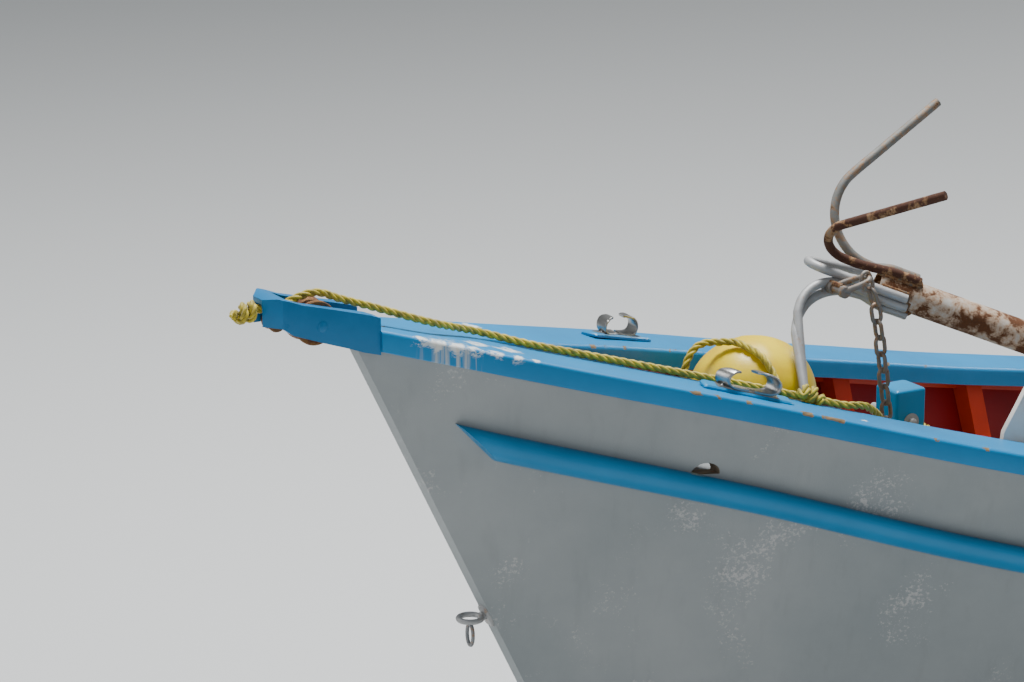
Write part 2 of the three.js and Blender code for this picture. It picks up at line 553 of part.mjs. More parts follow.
// Board: a painted bottom board stood on the foredeck against the port rail
const board = { fromAft: 1372, toAft: 1830, low: 925, above: 118, lean: 59, thick: 18 };
const boardStart = [bowX - board.fromAft, railInner(board.fromAft) - 18];
const boardEnd = [bowX - board.toAft, railInner(board.toAft) - 18];
const boardLong = Math.hypot(boardEnd[0] - boardStart[0], boardEnd[1] - boardStart[1]);
const boardTurn = Math.atan2(boardStart[1] - boardEnd[1], boardStart[0] - boardEnd[0]);
const boardTop = (aft) => sheerZ(aft) + board.above;
const boardOutline = outline([
  [0, board.low], [0, sheerZ(board.fromAft)], [-board.lean, boardTop(board.fromAft)], [-boardLong, boardTop(board.toAft)], [-boardLong, board.low - 120],
]);
const boardBody = solidOf(new THREE.ExtrudeGeometry(boardOutline, { depth: board.thick, bevelEnabled: false })
  .rotateX(Math.PI / 2).rotateZ(boardTurn).translate(boardStart[0], boardStart[1], 0));
place("bottom_board", boardBody.subtract(underForedeck), finish(paint.white, 0.6));

// Ropes, as plain tubes along their routes. Columns: distance aft, across, height
const ropeRadius = 8.5;
const fromBow = (points) => points.map(([aft, y, z]) => [bowX - aft, y, z]);
const onRail = (aft) => [aft, railInner(aft) + 16, sheerZ(aft) + ropeRadius + 1.6];
const bowRopeRoute = fromBow([
  [-159, 6, 1557], [-150, 6, 1557.4], [-128, 5, 1561.5], [-102, 4, 1569.3], [-75, 4, 1574.2], [-48, 4, 1571], [-10, 5, 1551],
  [60, 9, 1521], [180, 26, 1477],
  onRail(300), onRail(400), onRail(500), onRail(600), onRail(700), onRail(800), onRail(870),
  onRail(960), onRail(1020), [1075, railInner(1075) - 6, sheerZ(1075) + 14], [1125, 238, 1212], [1180, 186, 1172],
  [1240, 140, 1139], [1310, 98, 1124],
]);
place("bow_rope", sweep(bowRopeRoute, ropeRadius, 8, 36), finish(paint.rope, 0.85));
// On the float's surface, at an angle from its top
const onFloat = (aft, angle) => {
  const reach = float.radius * Math.sqrt(1 - ((aft - float.aft) / float.half) ** 2) ** 0.8 + ropeRadius + 1.3;
  return [aft, float.y + reach * Math.sin(angle), floatZ + reach * Math.cos(angle)];
};
const onForedeck = (aft, y, rise = 1.4) =>
  [aft, y, foredeckEdge(aft) + deckFall * (railHalf(aft) - y) + ropeRadius + rise];
const floatRopeRoute = fromBow([
  [863, 0, floatZ], [839, 0, floatZ + 1], [813, 1, floatZ + 14], [803, 4, floatZ + 46], [815, 9, floatZ + 82],
  [846, 15, floatZ + 104], onFloat(886, 0.2), onFloat(918, 0.5), onFloat(938, 0.9), onFloat(952, 1.3),
  [966, 139, floatZ - 45], [986, 146, floatZ - 92], onForedeck(1010, 151, 14), onForedeck(1040, 156, 3),
  onForedeck(1080, 162), onForedeck(1140, 174), onForedeck(1200, 192),
]);
place("float_rope", sweep(floatRopeRoute, ropeRadius, 8, 32), finish(paint.rope, 0.85));

// Wheelhouse: four walls with windows and a doorway, under a crowned roof
const house = { front: 1200, back: -350, half: 560, wall: 35, rake: 70, top: 2140, base: workDeckZ + gap };
const frontX = (z, inset = 0) => house.front - inset - (house.rake * (z - house.base)) / (house.top - house.base);
const houseProfile = (inset, spare) => [
  [frontX(house.base - spare, inset), house.base - spare], [frontX(house.top + spare, inset), house.top + spare],
  [house.back + inset, house.top + spare], [house.back + inset, house.base - spare],
];
const sash = { low: 1480, high: 1900 };
const frontWindows = [[60, 500], [-500, -60]];
const sideWindow = [50, 830];
const doorway = { low: 300, high: 1960, from: 40, to: 540 };
const frontCuts = frontWindows.map(([from, to]) => box([house.front - 200, from, sash.low], [house.front + 50, to, sash.high]));
const houseShell = slabAcross(houseProfile(0, 0), -house.half, house.half)
  .subtract(slabAcross(houseProfile(house.wall, 20), house.wall - house.half, house.half - house.wall));
const hinge = { x: house.back - 8, y: doorway.to - 3, radius: 7.5, heights: [480, 1720] };
const knuckle = (z, y0, y1, x1) => rod([hinge.x, hinge.y, z + gap / 2], [hinge.x, hinge.y, z + 40], hinge.radius, 12)
  .add(box([hinge.x - 2, y0, z + gap / 2], [x1, y1, z + 40]));
const houseBody = union([
  houseShell.subtract(union([
    ...frontCuts,
    box([sideWindow[0], -far, sash.low], [sideWindow[1], far, sash.high]),
    box([house.back - 10, doorway.from, doorway.low], [house.back + 100, doorway.to, doorway.high]),
    box([house.back - 10, -480, sash.low], [house.back + 100, -120, sash.high]),
  ])),
  ...hinge.heights.map((z) => knuckle(z + 40, hinge.y + 3, hinge.y + 30, house.back + 1)),
]);
place("wheelhouse", houseBody, finish(paint.white, 0.5));
const roofEdge = [
  [-640, house.top + gap], [640, house.top + gap], [640, house.top + 26], [350, house.top + 52],
  [0, house.top + 60], [-350, house.top + 52], [-640, house.top + 26],
];
place("wheelhouse_roof", slabAlong(roofEdge, house.back - 90, house.front + 30), finish(paint.rail, 0.5));
const underRoofTop = slabAlong(
  [[-640, 0], [640, 0], ...roofEdge.slice(2).map(([y, z]) => [y, z + gap])], house.back - 90, house.front + 30,
);
// Panes, set in their openings
const pane = 6;
frontWindows.forEach(([from, to], i) => {
  const [low, high] = [sash.low + gap, sash.high - gap];
  const middle = house.wall / 2;
  const profile = [
    [frontX(low, middle - pane / 2), low], [frontX(high, middle - pane / 2), high],
    [frontX(high, middle + pane / 2), high], [frontX(low, middle + pane / 2), low],
  ];
  place(`front_pane_${sides[i][0]}`, slabAcross(profile, from + gap, to - gap), finish(paint.glass, 0.1));
});
for (const [name, side] of sides) {
  const y = side * (house.half - house.wall / 2);
  place(`side_pane_${name}`, box(
    [sideWindow[0] + gap, y - pane / 2, sash.low + gap], [sideWindow[1] - gap, y + pane / 2, sash.high - gap],
  ), finish(paint.glass, 0.1));
}
place("back_pane", box(
  [house.back + 14, -480 + gap, sash.low + gap], [house.back + 14 + pane, -120 - gap, sash.high - gap],
), finish(paint.glass, 0.1));
const door = box(
  [house.back + 2, doorway.from + runningGap, doorway.low + runningGap],
  [house.back + 33, doorway.to - runningGap, doorway.high - runningGap],
).add(union(hinge.heights.map((z) => knuckle(z, hinge.y - 40, hinge.y - 3, house.back + 3))))
  .add(rod([house.back - 45, doorway.from + 60, 1050], [house.back + 3, doorway.from + 60, 1050], 9, 10))
  .add(rod([house.back - 45, doorway.from + 60, 1059], [house.back - 45, doorway.from + 60, 960], 8, 10));
place("wheelhouse_door", door, finish(paint.rail, 0.5));

// On the roof: mast with a crosstree, and the dry exhaust
const mast = { x: 300, top: 3480, tree: 3050 };
place("mast", union([
  rod([mast.x, 0, house.top], [mast.x, 0, mast.top], 34, 14, 24),
  rod([mast.x, -340, mast.tree], [mast.x, 340, mast.tree], 15, 10),
  box([mast.x - 80, -80, house.top], [mast.x + 80, 80, house.top + 72]),
]).subtract(underRoofTop), finish(paint.white, 0.5));
const stack = { x: -60, y: -430, radius: 44, top: 2760 };
const stackBody = rod([stack.x, stack.y, house.top], [stack.x, stack.y, stack.top], stack.radius, 16)
  .add(rod([stack.x, stack.y, house.top], [stack.x, stack.y, house.top + 80], 80, 16))
  .subtract(underRoofTop)
  .subtract(rod([stack.x, stack.y, stack.top - 120], [stack.x, stack.y, stack.top + 10], stack.radius - 5, 16));
place("exhaust_stack", stackBody, finish(paint.dark, 0.8, 0.4));

// Engine in its well, under a casing with a hinged lid
const engine = { long: 560, half: 180, top: 480 };
place("engine", box(
  [well.x - engine.long / 2, -engine.half, well.low + gap], [well.x + engine.long / 2, engine.half, engine.top],
), finish(paint.engine, 0.5));
const casing = { half: 300, long: 920, wall: 22, top: 700, lid: 24 };
const [caseBack, caseFront] = [well.x - casing.long / 2, well.x + casing.long / 2];
place("engine_casing", box([caseBack, -casing.half, workDeckZ + gap], [caseFront, casing.half, casing.top])
  .subtract(box(
    [caseBack + casing.wall, casing.wall - casing.half, 0], [caseFront - casing.wall, casing.half - casing.wall, 900],
  )), finish(paint.wood, 0.6));
place("engine_casing_lid", box(
  [caseBack - 4, -casing.half - 4, casing.top + gap], [caseFront + 4, casing.half + 4, casing.top + casing.lid],
), finish(paint.wood, 0.6));

// Helm: a cabinet against the front wall, with the steering wheel on its face
const helm = { back: 905, top: 1080, from: -520, to: -130, y: -325, z: 940, wheel: 165, tube: 12 };
place("helm_cabinet", slabAcross([
  [helm.back, house.base], [frontX(house.base, house.wall + gap), house.base],
  [frontX(helm.top, house.wall + gap), helm.top], [helm.back, helm.top],
], helm.from, helm.to).subtract(
  rod([helm.back - 10, helm.y, helm.z], [helm.back + 90, helm.y, helm.z], 13, 16),
), finish(paint.wood, 0.6));
const wheelX = helm.back - 55;
const spokes = Array.from({ length: 6 }, (_, i) => {
  const angle = (Math.PI * i) / 3;
  const tip = [wheelX, helm.y + helm.wheel * Math.cos(angle), helm.z + helm.wheel * Math.sin(angle)];
  return rod([wheelX, helm.y, helm.z], tip, 8, 6);
});
const rim = new THREE.TorusGeometry(helm.wheel, helm.tube, 6, 24).rotateY(Math.PI / 2);
place("steering_wheel", union([
  solidOf(rim.translate(wheelX, helm.y, helm.z)), ...spokes,
  rod([wheelX - 22, helm.y, helm.z], [wheelX + 22, helm.y, helm.z], 32, 16),
  rod([wheelX, helm.y, helm.z], [helm.back + 85, helm.y, helm.z], 12, 16),
]), finish(paint.wood, 0.4));

// Trawl winch: two drums on one axle between three plates
const winch = { x: -1100, z: 560, half: 420, plate: 16, flange: 150, core: 105, bore: 21 };
const plateOutline = [
  [winch.x - 160, house.base], [winch.x + 160, house.base], [winch.x + 70, winch.z + 70],
  [winch.x + 30, winch.z + 95], [winch.x - 30, winch.z + 95], [winch.x - 70, winch.z + 70],
];
const plateAt = [-winch.half, -winch.plate / 2, winch.half - winch.plate];
place("trawl_winch_frame", union([
  ...plateAt.map((y) => slabAcross(plateOutline, y, y + winch.plate)),
  box([winch.x - 160, -winch.half, house.base], [winch.x - 110, winch.half, house.base + 45]),
  box([winch.x + 110, -winch.half, house.base], [winch.x + 160, winch.half, house.base + 45]),
  rod([winch.x, -winch.half - 5, winch.z], [winch.x, winch.half + 5, winch.z], winch.bore - 1, 20),
  box([winch.x - 100, -winch.half - 130, winch.z - 120], [winch.x + 100, 2 - winch.half, winch.z + 90]),
]), finish(paint.dark, 0.7, 0.3));
const drumHalf = (winch.half - 1.5 * winch.plate) / 2 - 7;
const drumProfile = [
  [winch.bore, -drumHalf], [winch.flange, -drumHalf], [winch.flange, 12 - drumHalf], [winch.core, 12 - drumHalf],
  [winch.core, drumHalf - 12], [winch.flange, drumHalf - 12], [winch.flange, drumHalf], [winch.bore, drumHalf], [winch.bore, -drumHalf],
];
for (const [name, side] of sides) {
  const y = side * (winch.plate / 2 + 7 + drumHalf);
  const drum = new THREE.LatheGeometry(drumProfile.map(([r, a]) => new THREE.Vector2(r, a)), 24).translate(winch.x, y, winch.z);
  place(`winch_drum_${name}`, solidOf(drum), finish(paint.rust, 0.6, 0.5));
}

// Fish hatch
const hatch = { wall: 40, top: 410, lid: 34 };
place("hatch_coaming", box([hold.x - hold.half - hatch.wall, -hold.half - hatch.wall, house.base],
  [hold.x + hold.half + hatch.wall, hold.half + hatch.wall, hatch.top])
  .subtract(hullBox({ ...hold, low: 0 })), finish(paint.rail, 0.6));
const lidHalf = hold.half + hatch.wall + 6;
place("hatch_lid", box([hold.x - lidHalf, -lidHalf, hatch.top + gap], [hold.x + lidHalf, lidHalf, hatch.top + hatch.lid])
  .add(rod([hold.x - lidHalf + 60, -50, hatch.top + hatch.lid + 8], [hold.x - lidHalf + 60, 50, hatch.top + hatch.lid + 8], 10, 8)),
finish(paint.deck, 0.6));

// Stern gantry with two towing blocks
const gantry = { x: -3700, leg: 690, half: 40, top: 2300, braceFoot: -2960, braceTop: 1650 };
const block = { y: 520, pinZ: 2172, drop: 120, radius: 66 };
const legs = sides.map(([, side]) => box(
  [gantry.x - gantry.half, side * gantry.leg - gantry.half, house.base],
  [gantry.x + gantry.half, side * gantry.leg + gantry.half, gantry.top],
));
const braces = sides.map(([, side]) => rod(
  [gantry.braceFoot, side * (gantry.leg - 10), house.base - 40], [gantry.x, side * gantry.leg, gantry.braceTop], 26, 10,
));
const lugs = sides.flatMap(([, side]) => [-1, 1].map((end) => {
  const y = side * block.y + end * 18;
  return slabAcross([
    [gantry.x - 20, block.pinZ - 22], [gantry.x + 20, block.pinZ - 22],
    [gantry.x + 26, gantry.top - 75], [gantry.x - 26, gantry.top - 75],
  ], y - 5, y + 5);
}));
const lugPins = sides.map(([, side]) => rod(
  [gantry.x, side * block.y - 26, block.pinZ], [gantry.x, side * block.y + 26, block.pinZ], 9, 12,
));
const doorHook = { y: 872, z: 1400, radius: 12 };
const hooks = sides.flatMap(([, side]) => [
  rod([gantry.x, side * gantry.leg, doorHook.z], [gantry.x, side * (doorHook.y + 34), doorHook.z], doorHook.radius, 10),
  rod([gantry.x, side * (doorHook.y + 34), doorHook.z - 6], [gantry.x, side * (doorHook.y + 34), doorHook.z + 46], doorHook.radius, 10),
]);
const gantryBody = union([
  ...legs, ...braces, ...lugs, ...lugPins, ...hooks,
  box([gantry.x - gantry.half, -gantry.leg, gantry.top - 80], [gantry.x + gantry.half, gantry.leg, gantry.top]),
]).subtract(box([-far, -far, -far], [far, far, house.base]));
place("stern_gantry", gantryBody, finish(paint.rail, 0.55));
for (const [name, side] of sides) {
  const y = side * block.y;
  const low = block.pinZ - block.drop;
  const shell = [-14, 14].map((at) => rod([gantry.x, y + at - 4, low], [gantry.x, y + at + 4, low], block.radius, 18));
  const body = union([
    ...shell, rod([gantry.x, y - 12, low], [gantry.x, y + 12, low], block.radius - 12, 18),
    slabAcross([[gantry.x - 18, low], [gantry.x + 18, low], [gantry.x + 18, block.pinZ + 14], [gantry.x - 18, block.pinZ + 14]], y - 11, y + 11),
  ]).subtract(rod([gantry.x, y - 40, block.pinZ], [gantry.x, y + 40, block.pinZ], 10, 12));
  place(`towing_block_${name}`, body, finish(paint.galvanised, 0.5, 0.7));
}
// Trawl doors, hung outside the gantry's legs by their top bars
const trawlDoor = { half: 450, low: 830, high: 1350, thick: 38 };
const barZ = doorHook.z + 2 * doorHook.radius + gap;
for (const [name, side] of sides) {
  const y = side * doorHook.y;
  const [yLow, yHigh] = [y - trawlDoor.thick / 2, y + trawlDoor.thick / 2];
  const lift = [-110, 110].map((at) => rod([gantry.x + at, y, trawlDoor.high - 20], [gantry.x + at, y, barZ + 10], 12, 8));
  place(`trawl_door_${name}`, union([
    box([gantry.x - trawlDoor.half, yLow, trawlDoor.low], [gantry.x + trawlDoor.half, yHigh, trawlDoor.high]),
    box([gantry.x - trawlDoor.half, yLow - 8, trawlDoor.low - 30], [gantry.x + trawlDoor.half, yHigh + 8, trawlDoor.low + 25]),
    ...lift, rod([gantry.x - 122, y, barZ], [gantry.x + 122, y, barZ], 12, 10),
  ]), finish(paint.wood, 0.8));
}

// Propeller, its shaft, and the rudder behind it
const propeller = { front: -3402, back: -3530, radius: 200, hub: 42, shaft: 18, pitch: 300 };
place("propeller_shaft", rod([sternpostX + 215, 0, shaftZ], [propeller.front + gap, 0, shaftZ], propeller.shaft, 16), finish(paint.steel, 0.3, 0.9));
// Columns: radius, chord, thickness
const bladeSections = [
  [37, 78, 15], [55, 100, 15], [78, 122, 14], [105, 136, 12], [135, 138, 10], [165, 118, 8], [188, 80, 6], [199, 40, 5],
];
const bladeRings = bladeSections.map(([r, chord, thick]) => {
  const pitchAngle = Math.atan(propeller.pitch / (2 * Math.PI * r));
  const [c, s] = [Math.cos(pitchAngle), Math.sin(pitchAngle)];
  const corners = [[-chord / 2, 0], [0, thick / 2], [chord / 2, 0], [0, -thick / 2]];
  return corners.map(([a, b]) => [-r, a * c - b * s, a * s + b * c]);
});
const bladeMid = (propeller.front + propeller.back) / 2;
const blades = [0, 1, 2].map((i) => {
  const geometry = loftGeometry(bladeRings).rotateY(Math.PI / 2).rotateX((2 * Math.PI * i) / 3 + 0.1);
  return solidOf(geometry.translate(bladeMid, 0, shaftZ));
});
place("propeller", union([
  rod([propeller.back, 0, shaftZ], [propeller.front, 0, shaftZ], propeller.hub, 16),
  rod([propeller.back - 45, 0, shaftZ], [propeller.back + 8, 0, shaftZ], 14, 12, 31), ...blades,
]), finish(paint.bronze, 0.35, 0.9));
const rudder = { front: -3765, back: -4235, low: -766, high: -222, half: 15 };
const rudderBlade = slabAcross([
  [rudder.back, rudder.low + 60], [rudder.front - 10, rudder.low], [rudder.front, rudder.high], [rudder.back + 40, rudder.high + 20],
], -rudder.half, rudder.half);
place("rudder", rudderBlade
  .add(rod([rudderStock.x, 0, rudder.low], [rudderStock.x, 0, 100], rudderStock.radius, 16))
  .add(rod([rudderStock.x, 0, -799.5], [rudderStock.x, 0, rudder.low + 10], 12.5, 12)), finish(paint.antifoul, 0.8));

export default scene;
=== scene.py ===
import json
import math
import random
import bpy
import bmesh
import numpy as np
from mathutils import Matrix, Vector


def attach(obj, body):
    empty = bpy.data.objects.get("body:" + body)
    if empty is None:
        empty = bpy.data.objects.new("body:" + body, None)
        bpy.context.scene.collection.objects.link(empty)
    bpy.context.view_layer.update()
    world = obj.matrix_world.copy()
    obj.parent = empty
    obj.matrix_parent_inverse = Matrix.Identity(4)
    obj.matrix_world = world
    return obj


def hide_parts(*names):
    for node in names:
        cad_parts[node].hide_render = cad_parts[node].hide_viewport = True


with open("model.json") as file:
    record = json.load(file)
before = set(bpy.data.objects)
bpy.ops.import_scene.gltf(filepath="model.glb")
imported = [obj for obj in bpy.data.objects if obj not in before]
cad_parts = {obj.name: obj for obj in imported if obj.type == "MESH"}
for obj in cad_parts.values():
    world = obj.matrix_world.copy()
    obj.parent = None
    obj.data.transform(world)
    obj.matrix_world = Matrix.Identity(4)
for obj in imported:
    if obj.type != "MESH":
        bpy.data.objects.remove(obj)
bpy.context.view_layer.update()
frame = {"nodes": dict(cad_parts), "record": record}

# A small wooden fishing trawler, afloat. x runs forward, y to port, z up; the waterline is z = 0.
random.seed(7)

camera = {"place": (7.131, 5.604, 3.183), "aim": (4.009, 0.158, 1.464), "lens": 116.0}


def makeCamera():
    data = bpy.data.cameras.new("photoCamera")
    data.lens = camera["lens"]
    data.clip_end = 200
    eye = bpy.data.objects.new("photoCamera", data)
    eye.location = camera["place"]
    look = Vector(camera["aim"]) - Vector(camera["place"])
    eye.rotation_euler = look.to_track_quat("-Z", "Y").to_euler()
    bpy.context.scene.collection.objects.link(eye)
    bpy.context.scene.camera = eye


makeCamera()
print("camera set")

# Shapes are gathered in a bmesh, then turned into one object with its materials


def circle(count, shift=0.0):
    return [2 * math.pi * (i + shift) / count for i in range(count)]


def squared(angle, power):
    # a circle's point drawn out towards the corners of its square
    return [math.copysign(abs(value) ** power, value) for value in (math.cos(angle), math.sin(angle))]


def appendPart(shape, part, material=0, bevel=0.0, smooth=True):
    if bevel:
        # edges of more than about 30 degrees
        edges = [e for e in part.edges if len(e.link_faces) == 2 and e.calc_face_angle(0) > 0.5]
        bmesh.ops.bevel(part, geom=edges, offset=bevel, segments=2, profile=0.6, affect="EDGES",
                        clamp_overlap=True)
    for face in part.faces:
        face.material_index = material
        face.smooth = smooth
    mesh = bpy.data.meshes.new("part")
    part.to_mesh(mesh)
    part.free()
    shape.from_mesh(mesh)
    bpy.data.meshes.remove(mesh)


def addBlock(shape, corner, opposite, material=0, bevel=0.003):
    part = bmesh.new()
    bmesh.ops.create_cube(part, size=1)
    size = Vector([abs(a - b) for a, b in zip(corner, opposite)])
    middle = (Vector(corner) + Vector(opposite)) / 2
    bmesh.ops.scale(part, vec=size, verts=part.verts)
    bmesh.ops.translate(part, vec=middle, verts=part.verts)
    appendPart(shape, part, material, min(bevel, min(size) * 0.3))


def addLathe(shape, profile, place, axis=(0, 0, 1), material=0, sides=32):
    # the profile gives radius and distance along the axis
    part = bmesh.new()
    rings = []
    for radius, along in profile:
        if radius < 1e-6:
            rings.append([part.verts.new((0, 0, along))])
        else:
            ring = [(radius * math.cos(t), radius * math.sin(t), along) for t in circle(sides)]
            rings.append([part.verts.new(point) for point in ring])
    for lower, upper in zip(rings, rings[1:]):
        for i in range(sides):
            j = (i + 1) % sides
            below = [lower[i % len(lower)], lower[j % len(lower)]]
            above = [upper[j % len(upper)], upper[i % len(upper)]]
            corners = list(dict.fromkeys(below + above))
            if len(corners) > 2:
                part.faces.new(corners)
    for ring, flip in ((rings[0], True), (rings[-1], False)):
        if len(ring) > 1 and rings[0] != rings[-1]:
            part.faces.new(ring[::-1] if flip else ring)
    bmesh.ops.recalc_face_normals(part, faces=part.faces)
    turnTo = Vector((0, 0, 1)).rotation_difference(Vector(axis)).to_matrix().to_4x4()
    part.transform(Matrix.Translation(Vector(place)) @ turnTo)
    appendPart(shape, part, material)


def addRod(shape, start, end, radius, material=0, sides=20, endRadius=None, bevel=0.0015):
    start, end = Vector(start), Vector(end)
    length = (end - start).length
    last = radius if endRadius is None else endRadius
    soft = min(bevel, radius * 0.4, length * 0.3)
    profile = [(radius - soft, 0), (radius, soft), (last, length - soft), (last - soft, length)]
    addLathe(shape, profile, start, end - start, material, sides)


def addPrism(shape, outline, low, high, axis="y", material=0, bevel=0.003):
    # the outline lies in the two other axes, in x, y, z order
    part = bmesh.new()
    order = {"x": (2, 0, 1), "y": (0, 2, 1), "z": (0, 1, 2)}[axis]

    def ringAt(level):
        return [part.verts.new([(a, b, level)[k] for k in order]) for a, b in outline]

    lower, upper = ringAt(low), ringAt(high)
    part.faces.new(lower)
    part.faces.new(upper[::-1])
    for i in range(len(outline)):
        j = (i + 1) % len(outline)
        part.faces.new([lower[i], upper[i], upper[j], lower[j]])
    bmesh.ops.recalc_face_normals(part, faces=part.faces)
    appendPart(shape, part, material, bevel)


def smoothPath(points, count, closed=False):
    points = [np.array(p, float) for p in points]
    if closed:
        points = [points[-1], *points, points[0], points[1]]
    else:
        points = [2 * points[0] - points[1], *points, 2 * points[-1] - points[-2]]
    spans = len(points) - 3
    path = []
    for i in range(count + (0 if closed else 1)):
        at = spans * i / count
        k = min(int(at), spans - 1)
        t = at - k
        a, b, c, d = points[k:k + 4]
        bend = (2 * a - 5 * b + 4 * c - d) * t * t + (3 * b - a - 3 * c + d) * t ** 3
        path.append(0.5 * (2 * b + (c - a) * t + bend))
    return path


def cubic(a, b, slopeA, slopeB, t):
    # a smooth curve from a to b that leaves and arrives with the two slopes
    square, cube = t * t, t ** 3
    ends = (2 * cube - 3 * square + 1) * a + (3 * square - 2 * cube) * b
    return ends + (cube - 2 * square + t) * slopeA + (cube - square) * slopeB


def evenPath(path, step):
    path = np.array(path)
    along = np.concatenate([[0], np.cumsum(np.linalg.norm(np.diff(path, axis=0), axis=1))])
    marks = np.linspace(0, along[-1], max(int(along[-1] / step), 2) + 1)
    return np.stack([np.interp(marks, along, path[:, i]) for i in range(3)], 1), along[-1]


def framesAlong(path, closed=False):
    path = np.array(path)
    forward = np.gradient(path, axis=0) if not closed else np.roll(path, -1, 0) - np.roll(path, 1, 0)
    forward /= np.linalg.norm(forward, axis=1)[:, None]
    seed = np.array([0, 0, 1.0]) if abs(forward[0][2]) < 0.9 else np.array([1.0, 0, 0])
    sides = []
    side = np.cross(forward[0], seed)
    for direction in forward:
        side = side - direction * side.dot(direction)
        side /= np.linalg.norm(side)
        sides.append(side)
    sides = np.array(sides)
    return sides, np.cross(forward, sides)


def addTube(shape, path, radius, material=0, sides=12, closed=False, swell=None):
    side, over = framesAlong(path, closed)
    part = bmesh.new()
    rings = []
    for i, point in enumerate(np.array(path)):
        r = radius if swell is None else radius * swell(i / max(len(path) - 1, 1))
        ring = [point + r * (math.cos(t) * side[i] + math.sin(t) * over[i]) for t in circle(sides)]
        rings.append([part.verts.new(corner) for corner in ring])
    pairs = list(zip(rings, rings[1:]))
    if closed:
        # the last ring meets the first where the two frames agree best
        gaps = [(rings[-1][k].co - rings[0][0].co).length for k in range(sides)]
        shift = gaps.index(min(gaps))
        pairs.append((rings[-1][shift:] + rings[-1][:shift], rings[0]))
    for lower, upper in pairs:
        for k in range(sides):
            part.faces.new([lower[k], lower[(k + 1) % sides], upper[(k + 1) % sides], upper[k]])
    if not closed:
        part.faces.new(rings[0][::-1])
        part.faces.new(rings[-1])
    bmesh.ops.recalc_face_normals(part, faces=part.faces)
    appendPart(shape, part, material)


def addSheetOfRings(shape, rings, material=0, smooth=True):
    part = bmesh.new()
    rows = [[part.verts.new(point) for point in ring] for ring in rings]
    count = len(rows[0])
    for lower, upper in zip(rows, rows[1:]):
        for k in range(count):
            part.faces.new([lower[k], lower[(k + 1) % count], upper[(k + 1) % count], upper[k]])
    part.faces.new(rows[0][::-1])
    part.faces.new(rows[-1])
    bmesh.ops.recalc_face_normals(part, faces=part.faces)
    appendPart(shape, part, material, smooth=smooth)


def markWear(mesh):
    # 1 on the rounded edges, 0 on the flats: the paint's chips gather where it is 1
    sharpness = 6
    normals = [face.normal for face in mesh.polygons]
    sharpest = [0.0] * len(mesh.vertices)
    first = [None] * len(mesh.vertices)
    for face in mesh.polygons:
        for v in face.vertices:
            if first[v] is None:
                first[v] = normals[face.index]
            else:
                sharpest[v] = max(sharpest[v], 1 - normals[face.index].dot(first[v]))
    wear = mesh.attributes.new("edgeWear", "FLOAT", "POINT")
    wear.data.foreach_set("value", [min(value * sharpness, 1.0) for value in sharpest])


def makeObject(name, shape, materials=()):
    mesh = bpy.data.meshes.new(name)
    shape.to_mesh(mesh)
    shape.free()
    for material in materials:
        mesh.materials.append(material)
    thing = bpy.data.objects.new(name, mesh)
    bpy.context.scene.collection.objects.link(thing)
    return thing


def settle(thing, sharp):
    # the modifiers' result becomes the mesh
    bpy.context.view_layer.update()
    spare = thing.data
    thing.data = bpy.data.meshes.new_from_object(thing.evaluated_get(bpy.context.evaluated_depsgraph_get()))
    thing.modifiers.clear()
    bpy.data.meshes.remove(spare)
    thing.data.set_sharp_from_angle(angle=math.radians(sharp))


def softenEdges(thing, width, angle):
    soft = thing.modifiers.new("soft", "BEVEL")
    soft.width = width
    soft.segments = 3
    soft.limit_method = "ANGLE"
    soft.angle_limit = math.radians(angle)


def makePiece(name, shape, body, materials, stands=(), sharp=35):
    piece = makeObject(name, shape, materials)
    piece.data.set_sharp_from_angle(angle=math.radians(sharp))
    markWear(piece.data)
    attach(piece, body)
    if stands:
        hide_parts(*stands)
    return piece


def linear(text):
    values = [int(text[i:i + 2], 16) / 255 for i in (1, 3, 5)]
    return tuple(v / 12.92 if v <= 0.04045 else ((v + 0.055) / 1.055) ** 2.4 for v in values) + (1.0,)


print("tools ready")

